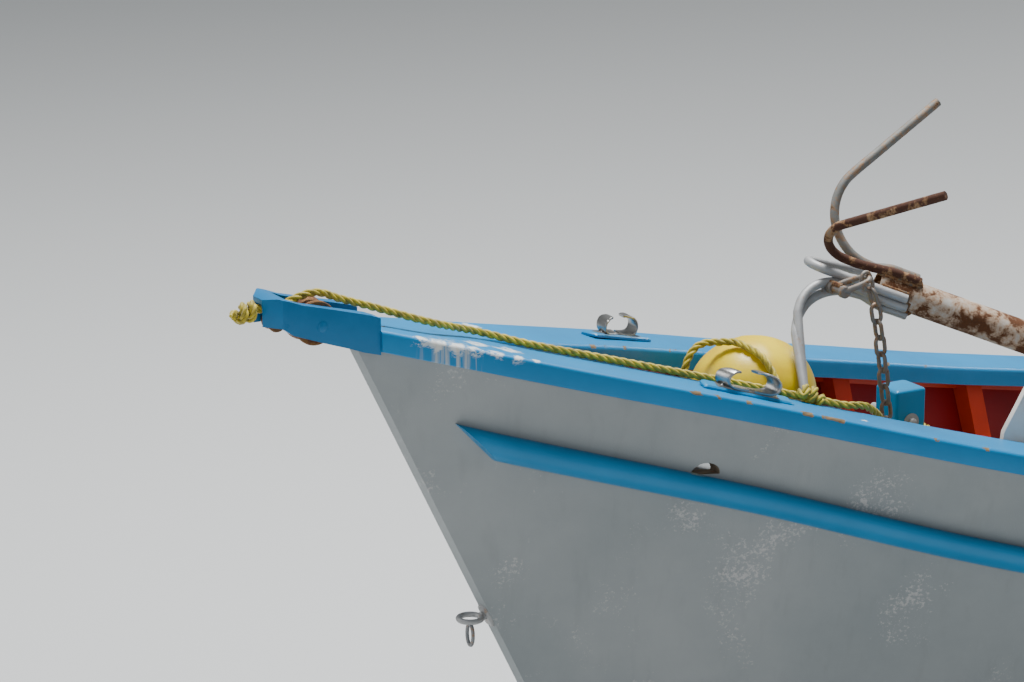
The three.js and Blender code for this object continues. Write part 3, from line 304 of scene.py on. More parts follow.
# Paints, metals and fibres. Object coordinates are the boat's own, in metres, so a scale of 1000 / s
# gives cells of s mm
# top is each paint's lit tone and shade a painted shade tone of the same paint, mixed in clouds
paintColumns = ("top", "shade", "under", "rough", "brush", "chips", "flatChips", "mottle", "coat")
paints = {
    # marine alkyd gloss brushed on a softwood plank: low gloss with brush lines, chipped to grey-brown wood
    "railBlueGloss": ("#007fb8", "#0073a8", "#a58c68", 0.45, 0.25, 0.62, 0.12, 2.5, 0.1),
    # the same paint where hands and ropes have rubbed it less
    "strakeBlueGloss": ("#0082b6", "#0074a4", "#7d6a52", 0.4, 0.25, 0.3, 0.05, 2.5, 0.12),
    # flat grey topside paint rolled on filled planks: chalky, with pale scuffs; its light grey is set
    # darker as painted shade on the topsides
    "hullGreyChalk": ("#989d9e", "#868d8f", "#bcb6b2", 0.72, 0.5, 0.2, 0.10, 1.6, 0.0),
    # red oxide on rough planks
    "bulwarkRedOxide": ("#a3161b", "#851115", "#6a4a38", 0.6, 0.5, 0.35, 0.12, 3.0, 0.0),
    # red gloss on the frames, lightened to orange-red as a painted highlight of the sun on their faces
    "framePaintedSunlitRed": ("#dc3a18", "#b52b12", "#7c4c34", 0.45, 0.3, 0.4, 0.06, 3.0, 0.05),
    # grey deck paint with grit rolled in
    "deckGreyGrit": ("#8f9496", "#757a7c", "#7d6a55", 0.85, 0.9, 0.5, 0.3, 3.5, 0.0),
    # copper bottom paint, matt, with a weed line
    "bottomGreenCopper": ("#2f5f52", "#234a40", "#6d4f3c", 0.88, 0.8, 0.3, 0.2, 2.0, 0.0),
    # white house enamel over plywood
    "houseWhiteEnamel": ("#dcdcd4", "#c6c7bf", "#8f7d66", 0.42, 0.25, 0.35, 0.06, 1.5, 0.1),
    # white board with drips
    "boardWhiteEnamel": ("#dedad2", "#cfc8bf", "#6a4a3a", 0.5, 0.3, 0.6, 0.1, 6.0, 0.0),
    # blue gloss over rolled steel: rust shows in the chips
    "steelBlueGloss": ("#0072a8", "#006496", "#5a3323", 0.4, 0.3, 0.6, 0.12, 4.0, 0.1),
    # black paint over rolled steel, rusting
    "steelBlackPaint": ("#26282a", "#1b1c1d", "#6b3b22", 0.55, 0.4, 0.7, 0.3, 5.0, 0.0),
    # green heat-proof enamel over cast iron
    "engineGreenEnamel": ("#3d6b50", "#2e5440", "#4a3a2e", 0.45, 0.4, 0.45, 0.15, 7.0, 0.05),
}
# Where droppings have dried white on the rails: middle, radius
droppings = [
    ((4.175, 0.092, 1.476), 0.034), ((4.145, 0.103, 1.469), 0.044), ((4.110, 0.116, 1.461), 0.044),
    ((4.075, 0.129, 1.452), 0.038), ((4.035, 0.143, 1.442), 0.032), ((3.995, 0.158, 1.432), 0.028),
    ((3.960, 0.170, 1.423), 0.020), ((4.04, 0.07, 1.445), 0.045), ((3.98, 0.09, 1.430), 0.05),
    ((3.93, -0.15, 1.415), 0.045), ((3.30, 0.365, 1.249), 0.017)]
runDown = {"middle": (4.12, 0.115, 1.440), "reach": 0.075}
# Where the rails' outer edges have been knocked down to the wood: distance aft, half length. The flakes
# shift them ahead by 30 mm on average, so they are measured from 4.33 m
knocks = [
    (0.644, 0.015), (0.685, 0.006), (0.748, 0.013), (0.857, 0.012), (0.908, 0.026), (1.12, 0.006),
    (1.222, 0.008), (1.66, 0.012), (1.80, 0.010), (2.35, 0.03), (3.3, 0.02), (4.7, 0.04), (6.1, 0.03),
    (7.7, 0.035)]
knockedFrom = 4.33


def startMaterial(name):
    material = bpy.data.materials.new(name)
    material.use_nodes = True
    tree = material.node_tree
    return material, tree, tree.nodes["Principled BSDF"]


def setSockets(tree, shader, sockets):
    for key, value in sockets.items():
        if isinstance(value, bpy.types.NodeSocket):
            tree.links.new(value, shader.inputs[key])
        else:
            shader.inputs[key].default_value = value


def addNode(tree, kind, sockets=None, out=0, **settings):
    # gives back the output with the number out; for a colour mix that is 2
    node = tree.nodes.new("ShaderNode" + kind)
    for key, value in settings.items():
        setattr(node, key, value)
    setSockets(tree, node, sockets or {})
    return node.outputs[out]


def paintMaterial(name, streaks=False, soiled=False):
    look = dict(zip(paintColumns, paints[name]))
    material, tree, shader = startMaterial(name)
    place = addNode(tree, "TexCoord", out="Object")
    # slow changes of tone, a hand's width across: clouds of each paint's shade colour, a painted shade
    # tone, over its lit top colour
    cloud = addNode(tree, "TexNoise", {"Vector": place, "Scale": look["mottle"], "Detail": 6,
        "Roughness": 0.62})
    tone = addNode(tree, "MapRange", {"Value": cloud, "From Min": 0.35, "From Max": 0.68})
    last = addNode(tree, "Mix", {0: tone, 6: linear(look["top"]), 7: linear(look["shade"])}, 2,
        data_type="RGBA")
    # brush lines run along the boat, 2 mm apart; drawn 4 mm wide so that they show
    along = addNode(tree, "Mapping", {"Vector": place, "Scale": (9, 240, 240)})
    bristle = addNode(tree, "TexNoise", {"Vector": along, "Scale": 1, "Detail": 4})
    # grit of 3 mm
    grit = addNode(tree, "TexNoise", {"Vector": place, "Scale": 320, "Detail": 3})
    # chips: 5 to 40 mm flakes, many on the edges and few on the flats, in patches 320 mm across
    flakes = addNode(tree, "TexNoise", {"Vector": place, "Scale": 26, "Detail": 9, "Roughness": 0.66,
                                        "Distortion": 0.4})
    patches = addNode(tree, "TexNoise", {"Vector": place, "Scale": 3.1, "Detail": 2})
    edge = addNode(tree, "Attribute", out="Fac", attribute_name="edgeWear")
    reach = addNode(tree, "Math", {0: edge, 1: look["chips"] * 0.22}, operation="MULTIPLY")
    spread = addNode(tree, "Math", {0: patches, 1: look["flatChips"] * 0.34, 2: reach},
        operation="MULTIPLY_ADD")
    total = addNode(tree, "Math", {0: flakes, 1: spread}, operation="ADD")
    if soiled:
        # the knocks lie on the outer edges, where the wear is greatest, and on surfaces that face up
        forward = addNode(tree, "SeparateXYZ", {0: place})
        ragged = addNode(tree, "Math", {0: flakes, 1: 0.06, 2: forward}, operation="MULTIPLY_ADD")
        knocked = None
        for aft, half in knocks:
            away = addNode(tree, "Math", {0: ragged, 1: knockedFrom - aft}, operation="SUBTRACT")
            size = addNode(tree, "Math", {0: away}, operation="ABSOLUTE")
            near = addNode(tree, "MapRange", {"Value": size, "From Min": half, "From Max": half * 0.6})
            knocked = addNode(tree, "Math", {0: knocked, 1: near}, operation="MAXIMUM") if knocked else near
        normal = addNode(tree, "TexCoord", out="Normal")
        upward = addNode(tree, "SeparateXYZ", {0: normal}, 2)
        upper = addNode(tree, "MapRange", {"Value": upward, "From Max": 0.2})
        onTop = addNode(tree, "Math", {0: knocked, 1: upper}, operation="MULTIPLY")
        struck = addNode(tree, "Math", {0: onTop, 1: edge}, operation="MULTIPLY")
        total = addNode(tree, "Math", {0: struck, 1: 0.55, 2: total}, operation="MULTIPLY_ADD")
    chip = addNode(tree, "MapRange", {"Value": total, "From Min": 0.77, "From Max": 0.79})
    wood = addNode(tree, "Mix", {0: bristle, 6: linear(look["under"]), 7: linear("#3d3226")}, 2,
        data_type="RGBA")
    last = addNode(tree, "Mix", {0: chip, 6: last, 7: wood}, 2, data_type="RGBA")
    if streaks:
        # pale scuffs of 8 mm in clusters of 150 mm, and grey run-off 30 mm wide below the fastenings
        scuffs = addNode(tree, "TexNoise", {"Vector": place, "Scale": 130, "Detail": 8, "Roughness": 0.75})
        groups = addNode(tree, "TexNoise", {"Vector": place, "Scale": 6.5, "Detail": 3})
        both = addNode(tree, "Math", {0: scuffs, 1: groups}, operation="MULTIPLY")
        pale = addNode(tree, "MapRange",
            {"Value": both, "From Min": 0.34, "From Max": 0.40, "To Max": 0.45})
        last = addNode(tree, "Mix", {0: pale, 6: last, 7: linear("#d3cdcc")}, 2, data_type="RGBA")
        down = addNode(tree, "Mapping", {"Vector": place, "Scale": (34, 34, 1.6)})
        runs = addNode(tree, "TexNoise", {"Vector": down, "Scale": 1, "Detail": 5})
        dark = addNode(tree, "MapRange",
            {"Value": runs, "From Min": 0.55, "From Max": 0.85, "To Max": 0.22})
        last = addNode(tree, "Mix", {0: dark, 6: last, 7: linear("#6f7672")}, 2, data_type="RGBA")
    rough = addNode(tree, "MapRange", {"Value": chip, "To Min": look["rough"], "To Max": 0.9})
    if soiled:
        mask = None
        for middle, radius in droppings:
            away = addNode(tree, "VectorMath", {0: place, 1: middle}, "Value", operation="DISTANCE")
            near = addNode(tree, "MapRange", {"Value": away, "From Min": radius, "From Max": radius * 0.3})
            mask = addNode(tree, "Math", {0: mask, 1: near}, operation="MAXIMUM") if mask else near
        drip = addNode(tree, "Mapping", {"Vector": place, "Scale": (1, 1, 1.6)})
        # splashes of 19 mm
        splash = addNode(tree, "TexNoise", {"Vector": drip, "Scale": 52, "Detail": 10, "Roughness": 0.72,
                                            "Distortion": 0.2})
        wet = addNode(tree, "Math", {0: mask, 1: 0.30, 2: splash}, operation="MULTIPLY_ADD")
        white = addNode(tree, "MapRange", {"Value": wet, "From Min": 0.70, "From Max": 0.80, "To Max": 0.9})
        held = addNode(tree, "Math", {0: white, 1: mask}, operation="MULTIPLY")
        last = addNode(tree, "Mix", {0: held, 6: last, 7: linear("#e4e6e2")}, 2, data_type="RGBA")
        # run-down: streaks 7 to 14 mm wide on the plank's side below the patch
        below = addNode(tree, "VectorMath", {0: place, 1: runDown["middle"]}, "Value", operation="DISTANCE")
        runArea = addNode(tree, "MapRange", {"Value": below, "From Min": runDown["reach"],
                                             "From Max": runDown["reach"] * 0.6})
        threads = addNode(tree, "Mapping", {"Vector": place, "Scale": (150, 70, 6)})
        thread = addNode(tree, "TexNoise", {"Vector": threads, "Scale": 1, "Detail": 3})
        fallen = addNode(tree, "MapRange",
            {"Value": thread, "From Min": 0.48, "From Max": 0.66, "To Max": 0.6})
        run = addNode(tree, "Math", {0: fallen, 1: runArea}, operation="MULTIPLY")
        last = addNode(tree, "Mix", {0: run, 6: last, 7: linear("#cfcabd")}, 2, data_type="RGBA")
    rise = addNode(tree, "Math", {0: bristle, 1: look["brush"] * 0.35, 2: grit}, operation="MULTIPLY_ADD")
    sunk = addNode(tree, "Math", {0: chip, 1: -2, 2: rise}, operation="MULTIPLY_ADD")
    depth = 0.0006 + 0.0008 * look["brush"]
    bump = addNode(tree, "Bump", {"Height": sunk, "Strength": 0.35, "Distance": depth})
    setSockets(tree, shader, {"Base Color": last, "Roughness": rough, "Normal": bump, "IOR": 1.5,
                              "Specular IOR Level": 0.35, "Coat Weight": look["coat"],
                              "Coat Roughness": 0.25})
    return material


railBlueGloss = paintMaterial("railBlueGloss", soiled=True)
strakeBlueGloss = paintMaterial("strakeBlueGloss")
hullGreyChalk = paintMaterial("hullGreyChalk", streaks=True)
bulwarkRedOxide = paintMaterial("bulwarkRedOxide")
# the frames' red is lightened to orange-red as a painted highlight of sun on their faces
framePaintedSunlitRed = paintMaterial("framePaintedSunlitRed")
deckGreyGrit = paintMaterial("deckGreyGrit", streaks=True)
bottomGreenCopper = paintMaterial("bottomGreenCopper", streaks=True)
houseWhiteEnamel = paintMaterial("houseWhiteEnamel")
boardWhiteEnamel = paintMaterial("boardWhiteEnamel")
steelBlueGloss = paintMaterial("steelBlueGloss")
steelBlackPaint = paintMaterial("steelBlackPaint")
engineGreenEnamel = paintMaterial("engineGreenEnamel")

# the scale gives spots of 1000 / scale mm
metalColumns = ("clean", "dull", "rust", "rough", "metal", "rusty", "scale")
metals = {
    # hot-dip zinc, dull and spangled, with a little rust in spots of 17 mm
    "dippedZinc": ("#b4b4b3", "#8d8f91", "#7a4a2c", 0.58, 0.45, 0.20, 60),
    # old white paint on pipe, mostly gone to rust, in flakes of 40 mm
    "rustedPipe": ("#c9c6bd", "#a5a098", "#74431b", 0.75, 0.05, 0.60, 24),
    # bar that has rusted all over, with the last of its zinc
    "rustedBar": ("#8c8378", "#6f6152", "#552e1b", 0.8, 0.15, 0.74, 36),
    # bare bar weathered grey-brown
    "greyBar": ("#8b8c8a", "#605f59", "#5a4836", 0.66, 0.35, 0.36, 70),
    # polished marine stainless, hazed by salt
    "saltedStainless": ("#b4b4b2", "#85837e", "#7a6347", 0.32, 1.0, 0.1, 30),
    # short-link chain, brown-grey
    "chainSteel": ("#918d88", "#6c655e", "#5f3c26", 0.58, 0.5, 0.34, 70),
    # cast iron: rollers, sheaves and engine parts
    "rustedCasting": ("#5b4a3c", "#44362c", "#6d3d22", 0.82, 0.25, 0.6, 30),
    # manganese bronze, dull, with green in the hollows
    "dullBronze": ("#8f7440", "#6f5c36", "#4d6b58", 0.38, 1.0, 0.22, 20),
    # weld metal, rust-brown with black slag
    "weldBead": ("#6c655c", "#4f4840", "#6b3c20", 0.7, 0.4, 0.55, 110),
    # zinc-plated bolts and links
    "boltZinc": ("#8e9193", "#74777a", "#6d4128", 0.5, 0.8, 0.3, 90),
}


def metalMaterial(name):
    look = dict(zip(metalColumns, metals[name]))
    material, tree, shader = startMaterial(name)
    place = addNode(tree, "TexCoord", out="Object")
    cloud = addNode(tree, "TexNoise", {"Vector": place, "Scale": look["scale"] * 0.6, "Detail": 5})
    clean = addNode(tree, "Mix", {0: cloud, 6: linear(look["clean"]), 7: linear(look["dull"])}, 2,
                    data_type="RGBA")
    spots = addNode(tree, "TexNoise", {"Vector": place, "Scale": look["scale"], "Detail": 10,
                                       "Roughness": 0.7, "Distortion": 0.15})
    shift = 0.5 * look["rusty"]
    rust = addNode(tree, "MapRange", {"Value": spots, "From Min": 0.78 - shift, "From Max": 0.86 - shift})
    # pits, drawn 2.4 mm wide so that they show
    fine = addNode(tree, "TexNoise", {"Vector": place, "Scale": 420, "Detail": 4})
    rustTone = addNode(tree, "Mix", {0: fine, 6: linear(look["rust"]), 7: linear("#2e1c12")}, 2,
                       data_type="RGBA")
    bloom = addNode(tree, "MapRange", {"Value": spots, "From Min": 0.66 - shift, "From Max": 0.8 - shift,
                                       "To Max": 0.6})
    stained = addNode(tree, "Mix", {0: bloom, 6: clean, 7: linear("#a5702e")}, 2, data_type="RGBA")
    colour = addNode(tree, "Mix", {0: rust, 6: stained, 7: rustTone}, 2, data_type="RGBA")
    metallic = addNode(tree, "MapRange", {"Value": rust, "To Min": look["metal"], "To Max": 0})
    rough = addNode(tree, "MapRange", {"Value": rust, "To Min": look["rough"], "To Max": 0.92})
    height = addNode(tree, "Math", {0: rust, 1: 0.6, 2: fine}, operation="MULTIPLY_ADD")
    bump = addNode(tree, "Bump", {"Height": height, "Strength": 0.4, "Distance": 0.0008})
    setSockets(tree, shader, {"Base Color": colour, "Metallic": metallic, "Roughness": rough,
        "Normal": bump})
    return material


(dippedZinc, rustedPipe, rustedBar, greyBar, saltedStainless, chainSteel, rustedCasting, dullBronze,
 weldBead, boltZinc) = [metalMaterial(name) for name in metals]


def plainMaterial(name, base, dark, roughness, scale, bumpScale, bumpDepth, stretch=(1, 1, 1), **sockets):
    # one tone broken by another, with a fine surface; the stretch draws grain or yarns along an axis
    material, tree, shader = startMaterial(name)
    place = addNode(tree, "TexCoord", out="Object")
    drawn = addNode(tree, "Mapping", {"Vector": place, "Scale": stretch})
    tone = addNode(tree, "TexNoise", {"Vector": drawn, "Scale": scale, "Detail": 7, "Roughness": 0.6,
                                      "Distortion": 0.3})
    spread = addNode(tree, "MapRange", {"Value": tone, "From Min": 0.36, "From Max": 0.66})
    colour = addNode(tree, "Mix", {0: spread, 6: linear(base), 7: linear(dark)}, 2, data_type="RGBA")
    surface = addNode(tree, "TexNoise", {"Vector": drawn, "Scale": bumpScale, "Detail": 5})
    bump = addNode(tree, "Bump", {"Height": surface, "Strength": 0.4, "Distance": bumpDepth})
    named = {socket.replace("_", " "): value for socket, value in sockets.items()}
    setSockets(tree, shader, {"Base Color": colour, "Normal": bump, "Roughness": roughness, **named})
    return material


# laid polypropylene: glossy yellow yarns greyed by dirt in the lay; yarns 1 mm, drawn 2.4 mm
laidYellowRope = plainMaterial("laidYellowRope", "#c9b522", "#7d701c", 0.55, 60, 420, 0.0016,
                               Sheen_Weight=0.2)
# rotomoulded polyethylene float: waxy, pebbled every 6 mm, scuffed
mouldedFloatYellow = plainMaterial("mouldedFloatYellow", "#e6cb12", "#cfae10", 0.38, 9, 160, 0.0006,
                                   IOR=1.51, Subsurface_Weight=0.06)
# varnished mahogany: red-brown grain along the boat, its bands 38 mm apart and its fine grain 8 mm
varnishedMahogany = plainMaterial("varnishedMahogany", "#6d4226", "#3f2414", 0.28, 26, 120, 0.0005,
                                  stretch=(0.12, 1, 1), Coat_Weight=0.4, Coat_Roughness=0.12)
# bare oak gone silver, grain 7 mm apart
silveredOak = plainMaterial("silveredOak", "#8b7c69", "#564a3c", 0.85, 34, 150, 0.0018, stretch=(0.1, 1, 1))
# float glass, slightly green
cabinGlass = plainMaterial("cabinGlass", "#dfe9e6", "#d2dfdc", 0.04, 3, 5, 0.00002, IOR=1.52,
                           Transmission_Weight=0.9)
# black neoprene grips, dull, with a 3 mm grain
blackNeoprene = plainMaterial("blackNeoprene", "#1d1e1f", "#131414", 0.7, 30, 300, 0.0004)
# greased wire rope on the drums; wires 2 mm
greasedWire = plainMaterial("greasedWire", "#4b453d", "#2b2722", 0.42, 120, 500, 0.0008, Metallic=0.7)
# navigation lamp lenses, moulded polycarbonate
lensRed = plainMaterial("lensRed", "#9b1410", "#7a0f0c", 0.12, 20, 60, 0.0002, Transmission_Weight=0.35)
lensGreen = plainMaterial("lensGreen", "#0f7a3c", "#0b5f2f", 0.12, 20, 60, 0.0002, Transmission_Weight=0.35)
lensClear = plainMaterial("lensClear", "#e6e8e4", "#d5d8d4", 0.1, 20, 60, 0.0002, Transmission_Weight=0.6)
# printed dial behind clear varnish
dialFace = plainMaterial("dialFace", "#101214", "#1b1d1f", 0.3, 40, 80, 0.0001, Coat_Weight=0.5)
print("materials mixed")

# The boat's lines: distance aft of the bow, half width over the rail, height of the rail's top, fall from
# there to the deck's edge
sheerTable = [
    (0, 0.057, 1.511, 0.165), (0.4, 0.2015, 1.405, 0.175), (0.8, 0.345, 1.3025, 0.187),
    (1.2, 0.485, 1.195, 0.208), (1.6, 0.600, 1.0955, 0.222), (2.0, 0.697, 1.000, 0.230),
    (2.8, 0.840, 0.843, 0.236), (3.6, 0.975, 0.748, 0.236), (4.6, 1.090, 0.685, 0.236),
    (5.6, 1.145, 0.662, 0.236), (6.6, 1.130, 0.672, 0.236), (7.6, 1.065, 0.702, 0.236),
    (8.6, 0.960, 0.750, 0.236)]
# distance aft, height of the planking's lower edge
bottomTable = [(0.930, -0.400), (2.5, -0.432), (4.5, -0.425), (6.5, -0.320), (8.6, -0.120)]
bowX = 4.3


def readTable(table, column, at):
    # a smooth curve through the table's points, with slopes taken from the neighbours
    last = len(table) - 1
    i = 0
    while i < last - 1 and at > table[i + 1][0]:
        i += 1
    start, end = table[i], table[i + 1]
    span = end[0] - start[0]
    part = (at - start[0]) / span

    def slope(k):
        before, after = table[max(k - 1, 0)], table[min(k + 1, last)]
        return (after[column] - before[column]) / (after[0] - before[0]) * span

    return cubic(start[column], end[column], slope(i), slope(i + 1), part)


def railHalf(aft):
    return readTable(sheerTable, 1, aft)


def sheerZ(aft):
    return readTable(sheerTable, 2, aft)


def deckEdge(aft):
    return sheerZ(aft) - readTable(sheerTable, 3, aft)


def bottomZ(aft):
    return readTable(bottomTable, 1, aft)


def railInner(aft, width=0.164):
    slope = (railHalf(aft + 0.005) - railHalf(aft - 0.005)) / 0.01
    return railHalf(aft) - width * math.hypot(1, slope)


def deckZ(aft, y):
    # the foredeck rises to the middle
    return deckEdge(aft) + 0.05 * (railHalf(aft) - abs(y))


rope = {"diameter": 0.017, "lay": 0.058, "strand": 0.00395, "offset": 0.00455, "step": 0.0045}
post = {"aft": 1.364, "half": 0.040, "pinZ": 1.106}


def fromBow(points):
    return [(bowX - aft / 1000, y / 1000, z / 1000) for aft, y, z in points]


def onRail(aft):
    return (aft, railInner(aft / 1000) * 1000 + 16, sheerZ(aft / 1000) * 1000 + 10.1)


def onForedeck(aft, y, rise=1.4):
    return (aft, y, deckZ(aft / 1000, y / 1000) * 1000 + 8.5 + rise)


def laidRope(shape, points, material=0):
    # three strands laid right-handed round the route
    path, length = evenPath(smoothPath(points, len(points) * 24), rope["step"])
    side, over = framesAlong(path)
    for strand in range(3):
        turn = 2 * math.pi * (np.arange(len(path)) * length / (len(path) - 1) / rope["lay"] + strand / 3)
        line = path + rope["offset"] * (np.cos(turn)[:, None] * side + np.sin(turn)[:, None] * over)
        addTube(shape, line, rope["strand"], material, 8)
    return path, length


def addKnot(shape, place, along, wide):
    # an overhand stopper: two turns outside the rope, its ends tucked in at either side
    place, along = Vector(place), Vector(along).normalized()
    across = along.cross(Vector((0, 0, 1))).normalized()
    up = across.cross(along)
    points = [place - along * 0.03 + up * 0.002]
    for i in range(17):
        t = math.pi * i / 4
        shift = (i / 16 - 0.5) * rope["diameter"] * 2.2
        outside = (across * math.cos(t) + up * math.sin(t)) * rope["diameter"] * wide
        points.append(place + along * shift + outside)
    points.append(place + along * 0.03 - across * 0.006)
    laidRope(shape, [tuple(p) for p in points])


# twice round the foredeck post under its pin, each turn 18.2 mm lower, ending in a tail behind it
turnsRound = []
for i in range(33):
    abreast, ahead = squared(math.pi * i / 8, 0.55)
    turnsRound.append((post["aft"] * 1000 + ahead * 53, abreast * 53, 1086 - 18.2 * i / 16))
bowRopeRoute = fromBow([
    (-234, 5, 1548), (-214, 6, 1553.5), (-188, 6, 1556.6), (-159, 6, 1557), (-150, 6, 1557.4),
    (-128, 5, 1561.5), (-102, 4, 1569.3), (-75, 4, 1574.2), (-48, 4, 1571),
    (-10, 5, 1555), (60, 9, 1530), (180, 27, 1486.5),
    (300, railInner(0.3) * 1000 + 12, sheerZ(0.3) * 1000 + 14.5),
    *[onRail(aft) for aft in (400, 500, 600, 700, 800, 870, 960, 1020)],
    (1075, railInner(1.075) * 1000 - 6, sheerZ(1.075) * 1000 + 14), (1125, 238, 1212), (1180, 186, 1172),
    (1240, 140, 1137), (1300, 96, 1112), (1335, 68, 1094), *turnsRound,
    (1402, 60, 1047), (1420, 78, 1036), (1440, 98, 1012), (1462, 116, 980), onForedeck(1494, 130, 6),
    onForedeck(1530, 140), onForedeck(1580, 150)])
floatMiddle = (bowX - 0.972, 0, deckZ(0.972, 0) + 0.132)
floatHigh = floatMiddle[2] * 1000


def onFloat(aft, angle):
    reach = 129 * math.sqrt(1 - ((aft - 972) / 134) ** 2) ** 0.8 + 9.8
    return (aft, reach * math.sin(angle), floatHigh + reach * math.cos(angle))


floatRopeRoute = fromBow([
    (863, 0, floatHigh), (839, 0, floatHigh + 1), (813, 1, floatHigh + 14), (798, 2, floatHigh + 46),
    (803, -3, floatHigh + 86), (824, -9, floatHigh + 117), (852, -11, floatHigh + 129),
    (884, -2, floatHigh + 130),
    (916, 24, floatHigh + 130), onFloat(938, 0.6), onFloat(948, 0.95), onFloat(952, 1.3),
    (966, 139, floatHigh - 45), (986, 146, floatHigh - 92),
    onForedeck(1010, 151, 14), onForedeck(1040, 156, 3), onForedeck(1080, 162), onForedeck(1140, 174),
    onForedeck(1200, 192)])

ropePieces = {}
for cordName, route, stands in (("bowRope", bowRopeRoute, "bow_rope"),
        ("floatRope", floatRopeRoute, "float_rope")):
    shape = bmesh.new()
    line, length = laidRope(shape, route)
    ropePieces[cordName] = (makePiece(cordName, shape, "boat", [laidYellowRope], [stands],
        60), line, length)

for knotName, place, along, wide in (
        ("mouthKnot", (-214, 6, 1553.5), (1, 0, -0.1), 0.82),
        ("railKnot", (955, railInner(0.955) * 1000 + 12, sheerZ(0.955) * 1000 + 15), (-1, 0.3, -0.3), 0.85),
        ("floatKnot", onForedeck(1192, 190, 3), (-1, -0.2, 0), 0.62)):
    shape = bmesh.new()
    addKnot(shape, fromBow([place])[0], along, wide)
    makePiece(knotName, shape, "boat", [laidYellowRope], sharp=60)

piece, line, length = ropePieces["bowRope"]
piece, line, length = ropePieces["floatRope"]
print("ropes laid")

# The planking as one shell: stem, sides, transom and bottom, hollow above the decks
hull = {"length": 8.6, "forefoot": 0.930, "stemHead": 0.013, "plank": 0.035, "transom": 0.040,
        "stepAft": 2.75, "deckUnder": 0.0303, "workDeck": 0.24, "bootTop": 0.055}
hullLong, forefoot, stemHead, planking = [hull[key] for key in ("length", "forefoot", "stemHead", "plank")]
scupper = {"afts": (0.690, 4.7, 6.7), "half": 0.028, "high": 0.026}


def hullTopZ(aft):
    return sheerZ(aft) - 0.0453


def ease(value, low, high):
    t = min(max((value - low) / (high - low), 0), 1)
    return t * t * (3 - 2 * t)


levelMarks = [0, 0.12, 0.28, 0.45, 0.62, 0.76, 0.88, 1]


def stationOf(part):
    return stemHead + part * (hullLong - stemHead)


def halfAt(part, level):
    # the frames are drawn through eight marks from keel to rail, joined by a smooth curve
    stemHalf = 0.022
    firstFrame = (0.2 - stemHead) / (hullLong - stemHead)
    if part < firstFrame:
        # between the stem and the first frame the planks run straight
        return stemHalf + (halfAt(firstFrame, level) - stemHalf) * part / firstFrame
    side = railHalf(stationOf(part)) - 0.012
    root = stemHalf + 0.028 * min(part * 12, 1)
    # hollow at the bow, full amidships
    full = 0.82 - 0.48 * ease(part, 0.02, 0.5) + 0.06 * ease(part, 0.7, 1)
    halves = [root + (side - root) * mark ** full for mark in levelMarks]
    i = 0
    while i < len(levelMarks) - 2 and level > levelMarks[i + 1]:
        i += 1
    span = levelMarks[i + 1] - levelMarks[i]
    t = (level - levelMarks[i]) / span

    def slope(k):
        before, after = max(k - 1, 0), min(k + 1, len(levelMarks) - 1)
        return (halves[after] - halves[before]) / (levelMarks[after] - levelMarks[before]) * span

    first = slope(i) if i else halves[1] - halves[0]
    last = slope(i + 1) if i < len(levelMarks) - 2 else halves[-1] - halves[-2]
    return cubic(halves[i], halves[i + 1], first, last, t)


def hullPoint(part, level, side=1):
    stemAft = forefoot + (stemHead - forefoot) * level
    aft = stemAft + part * (hullLong - stemAft)
    low = bottomZ(forefoot + part * (hullLong - forefoot))
    return (bowX - aft, side * halfAt(part, level), low + (hullTopZ(stationOf(part)) - low) * level)


def hullHalf(aft, z):
    # half width of the outside at a place, by halving
    low, high = 0.0, 1.0
    for _ in range(22):
        level = (low + high) / 2
        stemAft = forefoot + (stemHead - forefoot) * level
        part = max((aft - stemAft) / (hullLong - stemAft), 0)
        if hullPoint(part, level)[2] < z:
            low = level
        else:
            high = level
    return halfAt(part, level)


levels = [i / 22 for i in range(23)]
parts = [0, 0.0109, 0.0218, 0.033, 0.044, 0.055, 0.068, 0.086, *[0.105 + 0.895 * i / 52 for i in range(53)]]
shape = bmesh.new()
port = [[shape.verts.new(hullPoint(p, level)) for level in levels] for p in parts]
starboard = [[shape.verts.new(hullPoint(p, level, -1)) for level in levels] for p in parts]
for rows in (port, starboard):
    for before, after in zip(rows, rows[1:]):
        for k in range(len(levels) - 1):
            shape.faces.new([before[k], before[k + 1], after[k + 1], after[k]])
for i in (0, -1):
    for k in range(len(levels) - 1):
        shape.faces.new([port[i][k], port[i][k + 1], starboard[i][k + 1], starboard[i][k]])
for i in range(len(parts) - 1):
    for k in (0, -1):
        shape.faces.new([port[i][k], port[i + 1][k], starboard[i + 1][k], starboard[i][k]])
bmesh.ops.recalc_face_normals(shape, faces=shape.faces)
# cut along the top of the bottom paint, so that each side of the line has its own
bmesh.ops.bisect_plane(shape, geom=[*shape.verts, *shape.edges, *shape.faces],
                       plane_co=(0, 0, hull["bootTop"]), plane_no=(0, 0, 1))
for face in shape.faces:
    face.smooth = True
    face.material_index = 1 if face.calc_center_median().z < hull["bootTop"] else 0


def roomRing(aft, floorAt, top=1.9):
    # a slice of the room inside the planking, from the decks' undersides up past the rail
    x = bowX - aft
    ceiling = hullTopZ(aft)
    foot = hullHalf(aft, floorAt(aft, 0.5)) - planking
    foot = hullHalf(aft, floorAt(aft, foot)) - planking
    low = floorAt(aft, foot)
    heights = [low + (ceiling - 0.001 - low) * i / 7 for i in range(8)]
    wall = [(x, hullHalf(aft, z) - planking, z) for z in heights]
    wall.append((x, wall[-1][1], top))
    return wall + [(x, -y, z) for _, y, z in wall[::-1]] + [(x, 0, floorAt(aft, 0))]


def foreFloor(aft, y):
    return deckZ(aft, y) - hull["deckUnder"]


def workFloor(aft, y):
    return hull["workDeck"] - hull["deckUnder"]


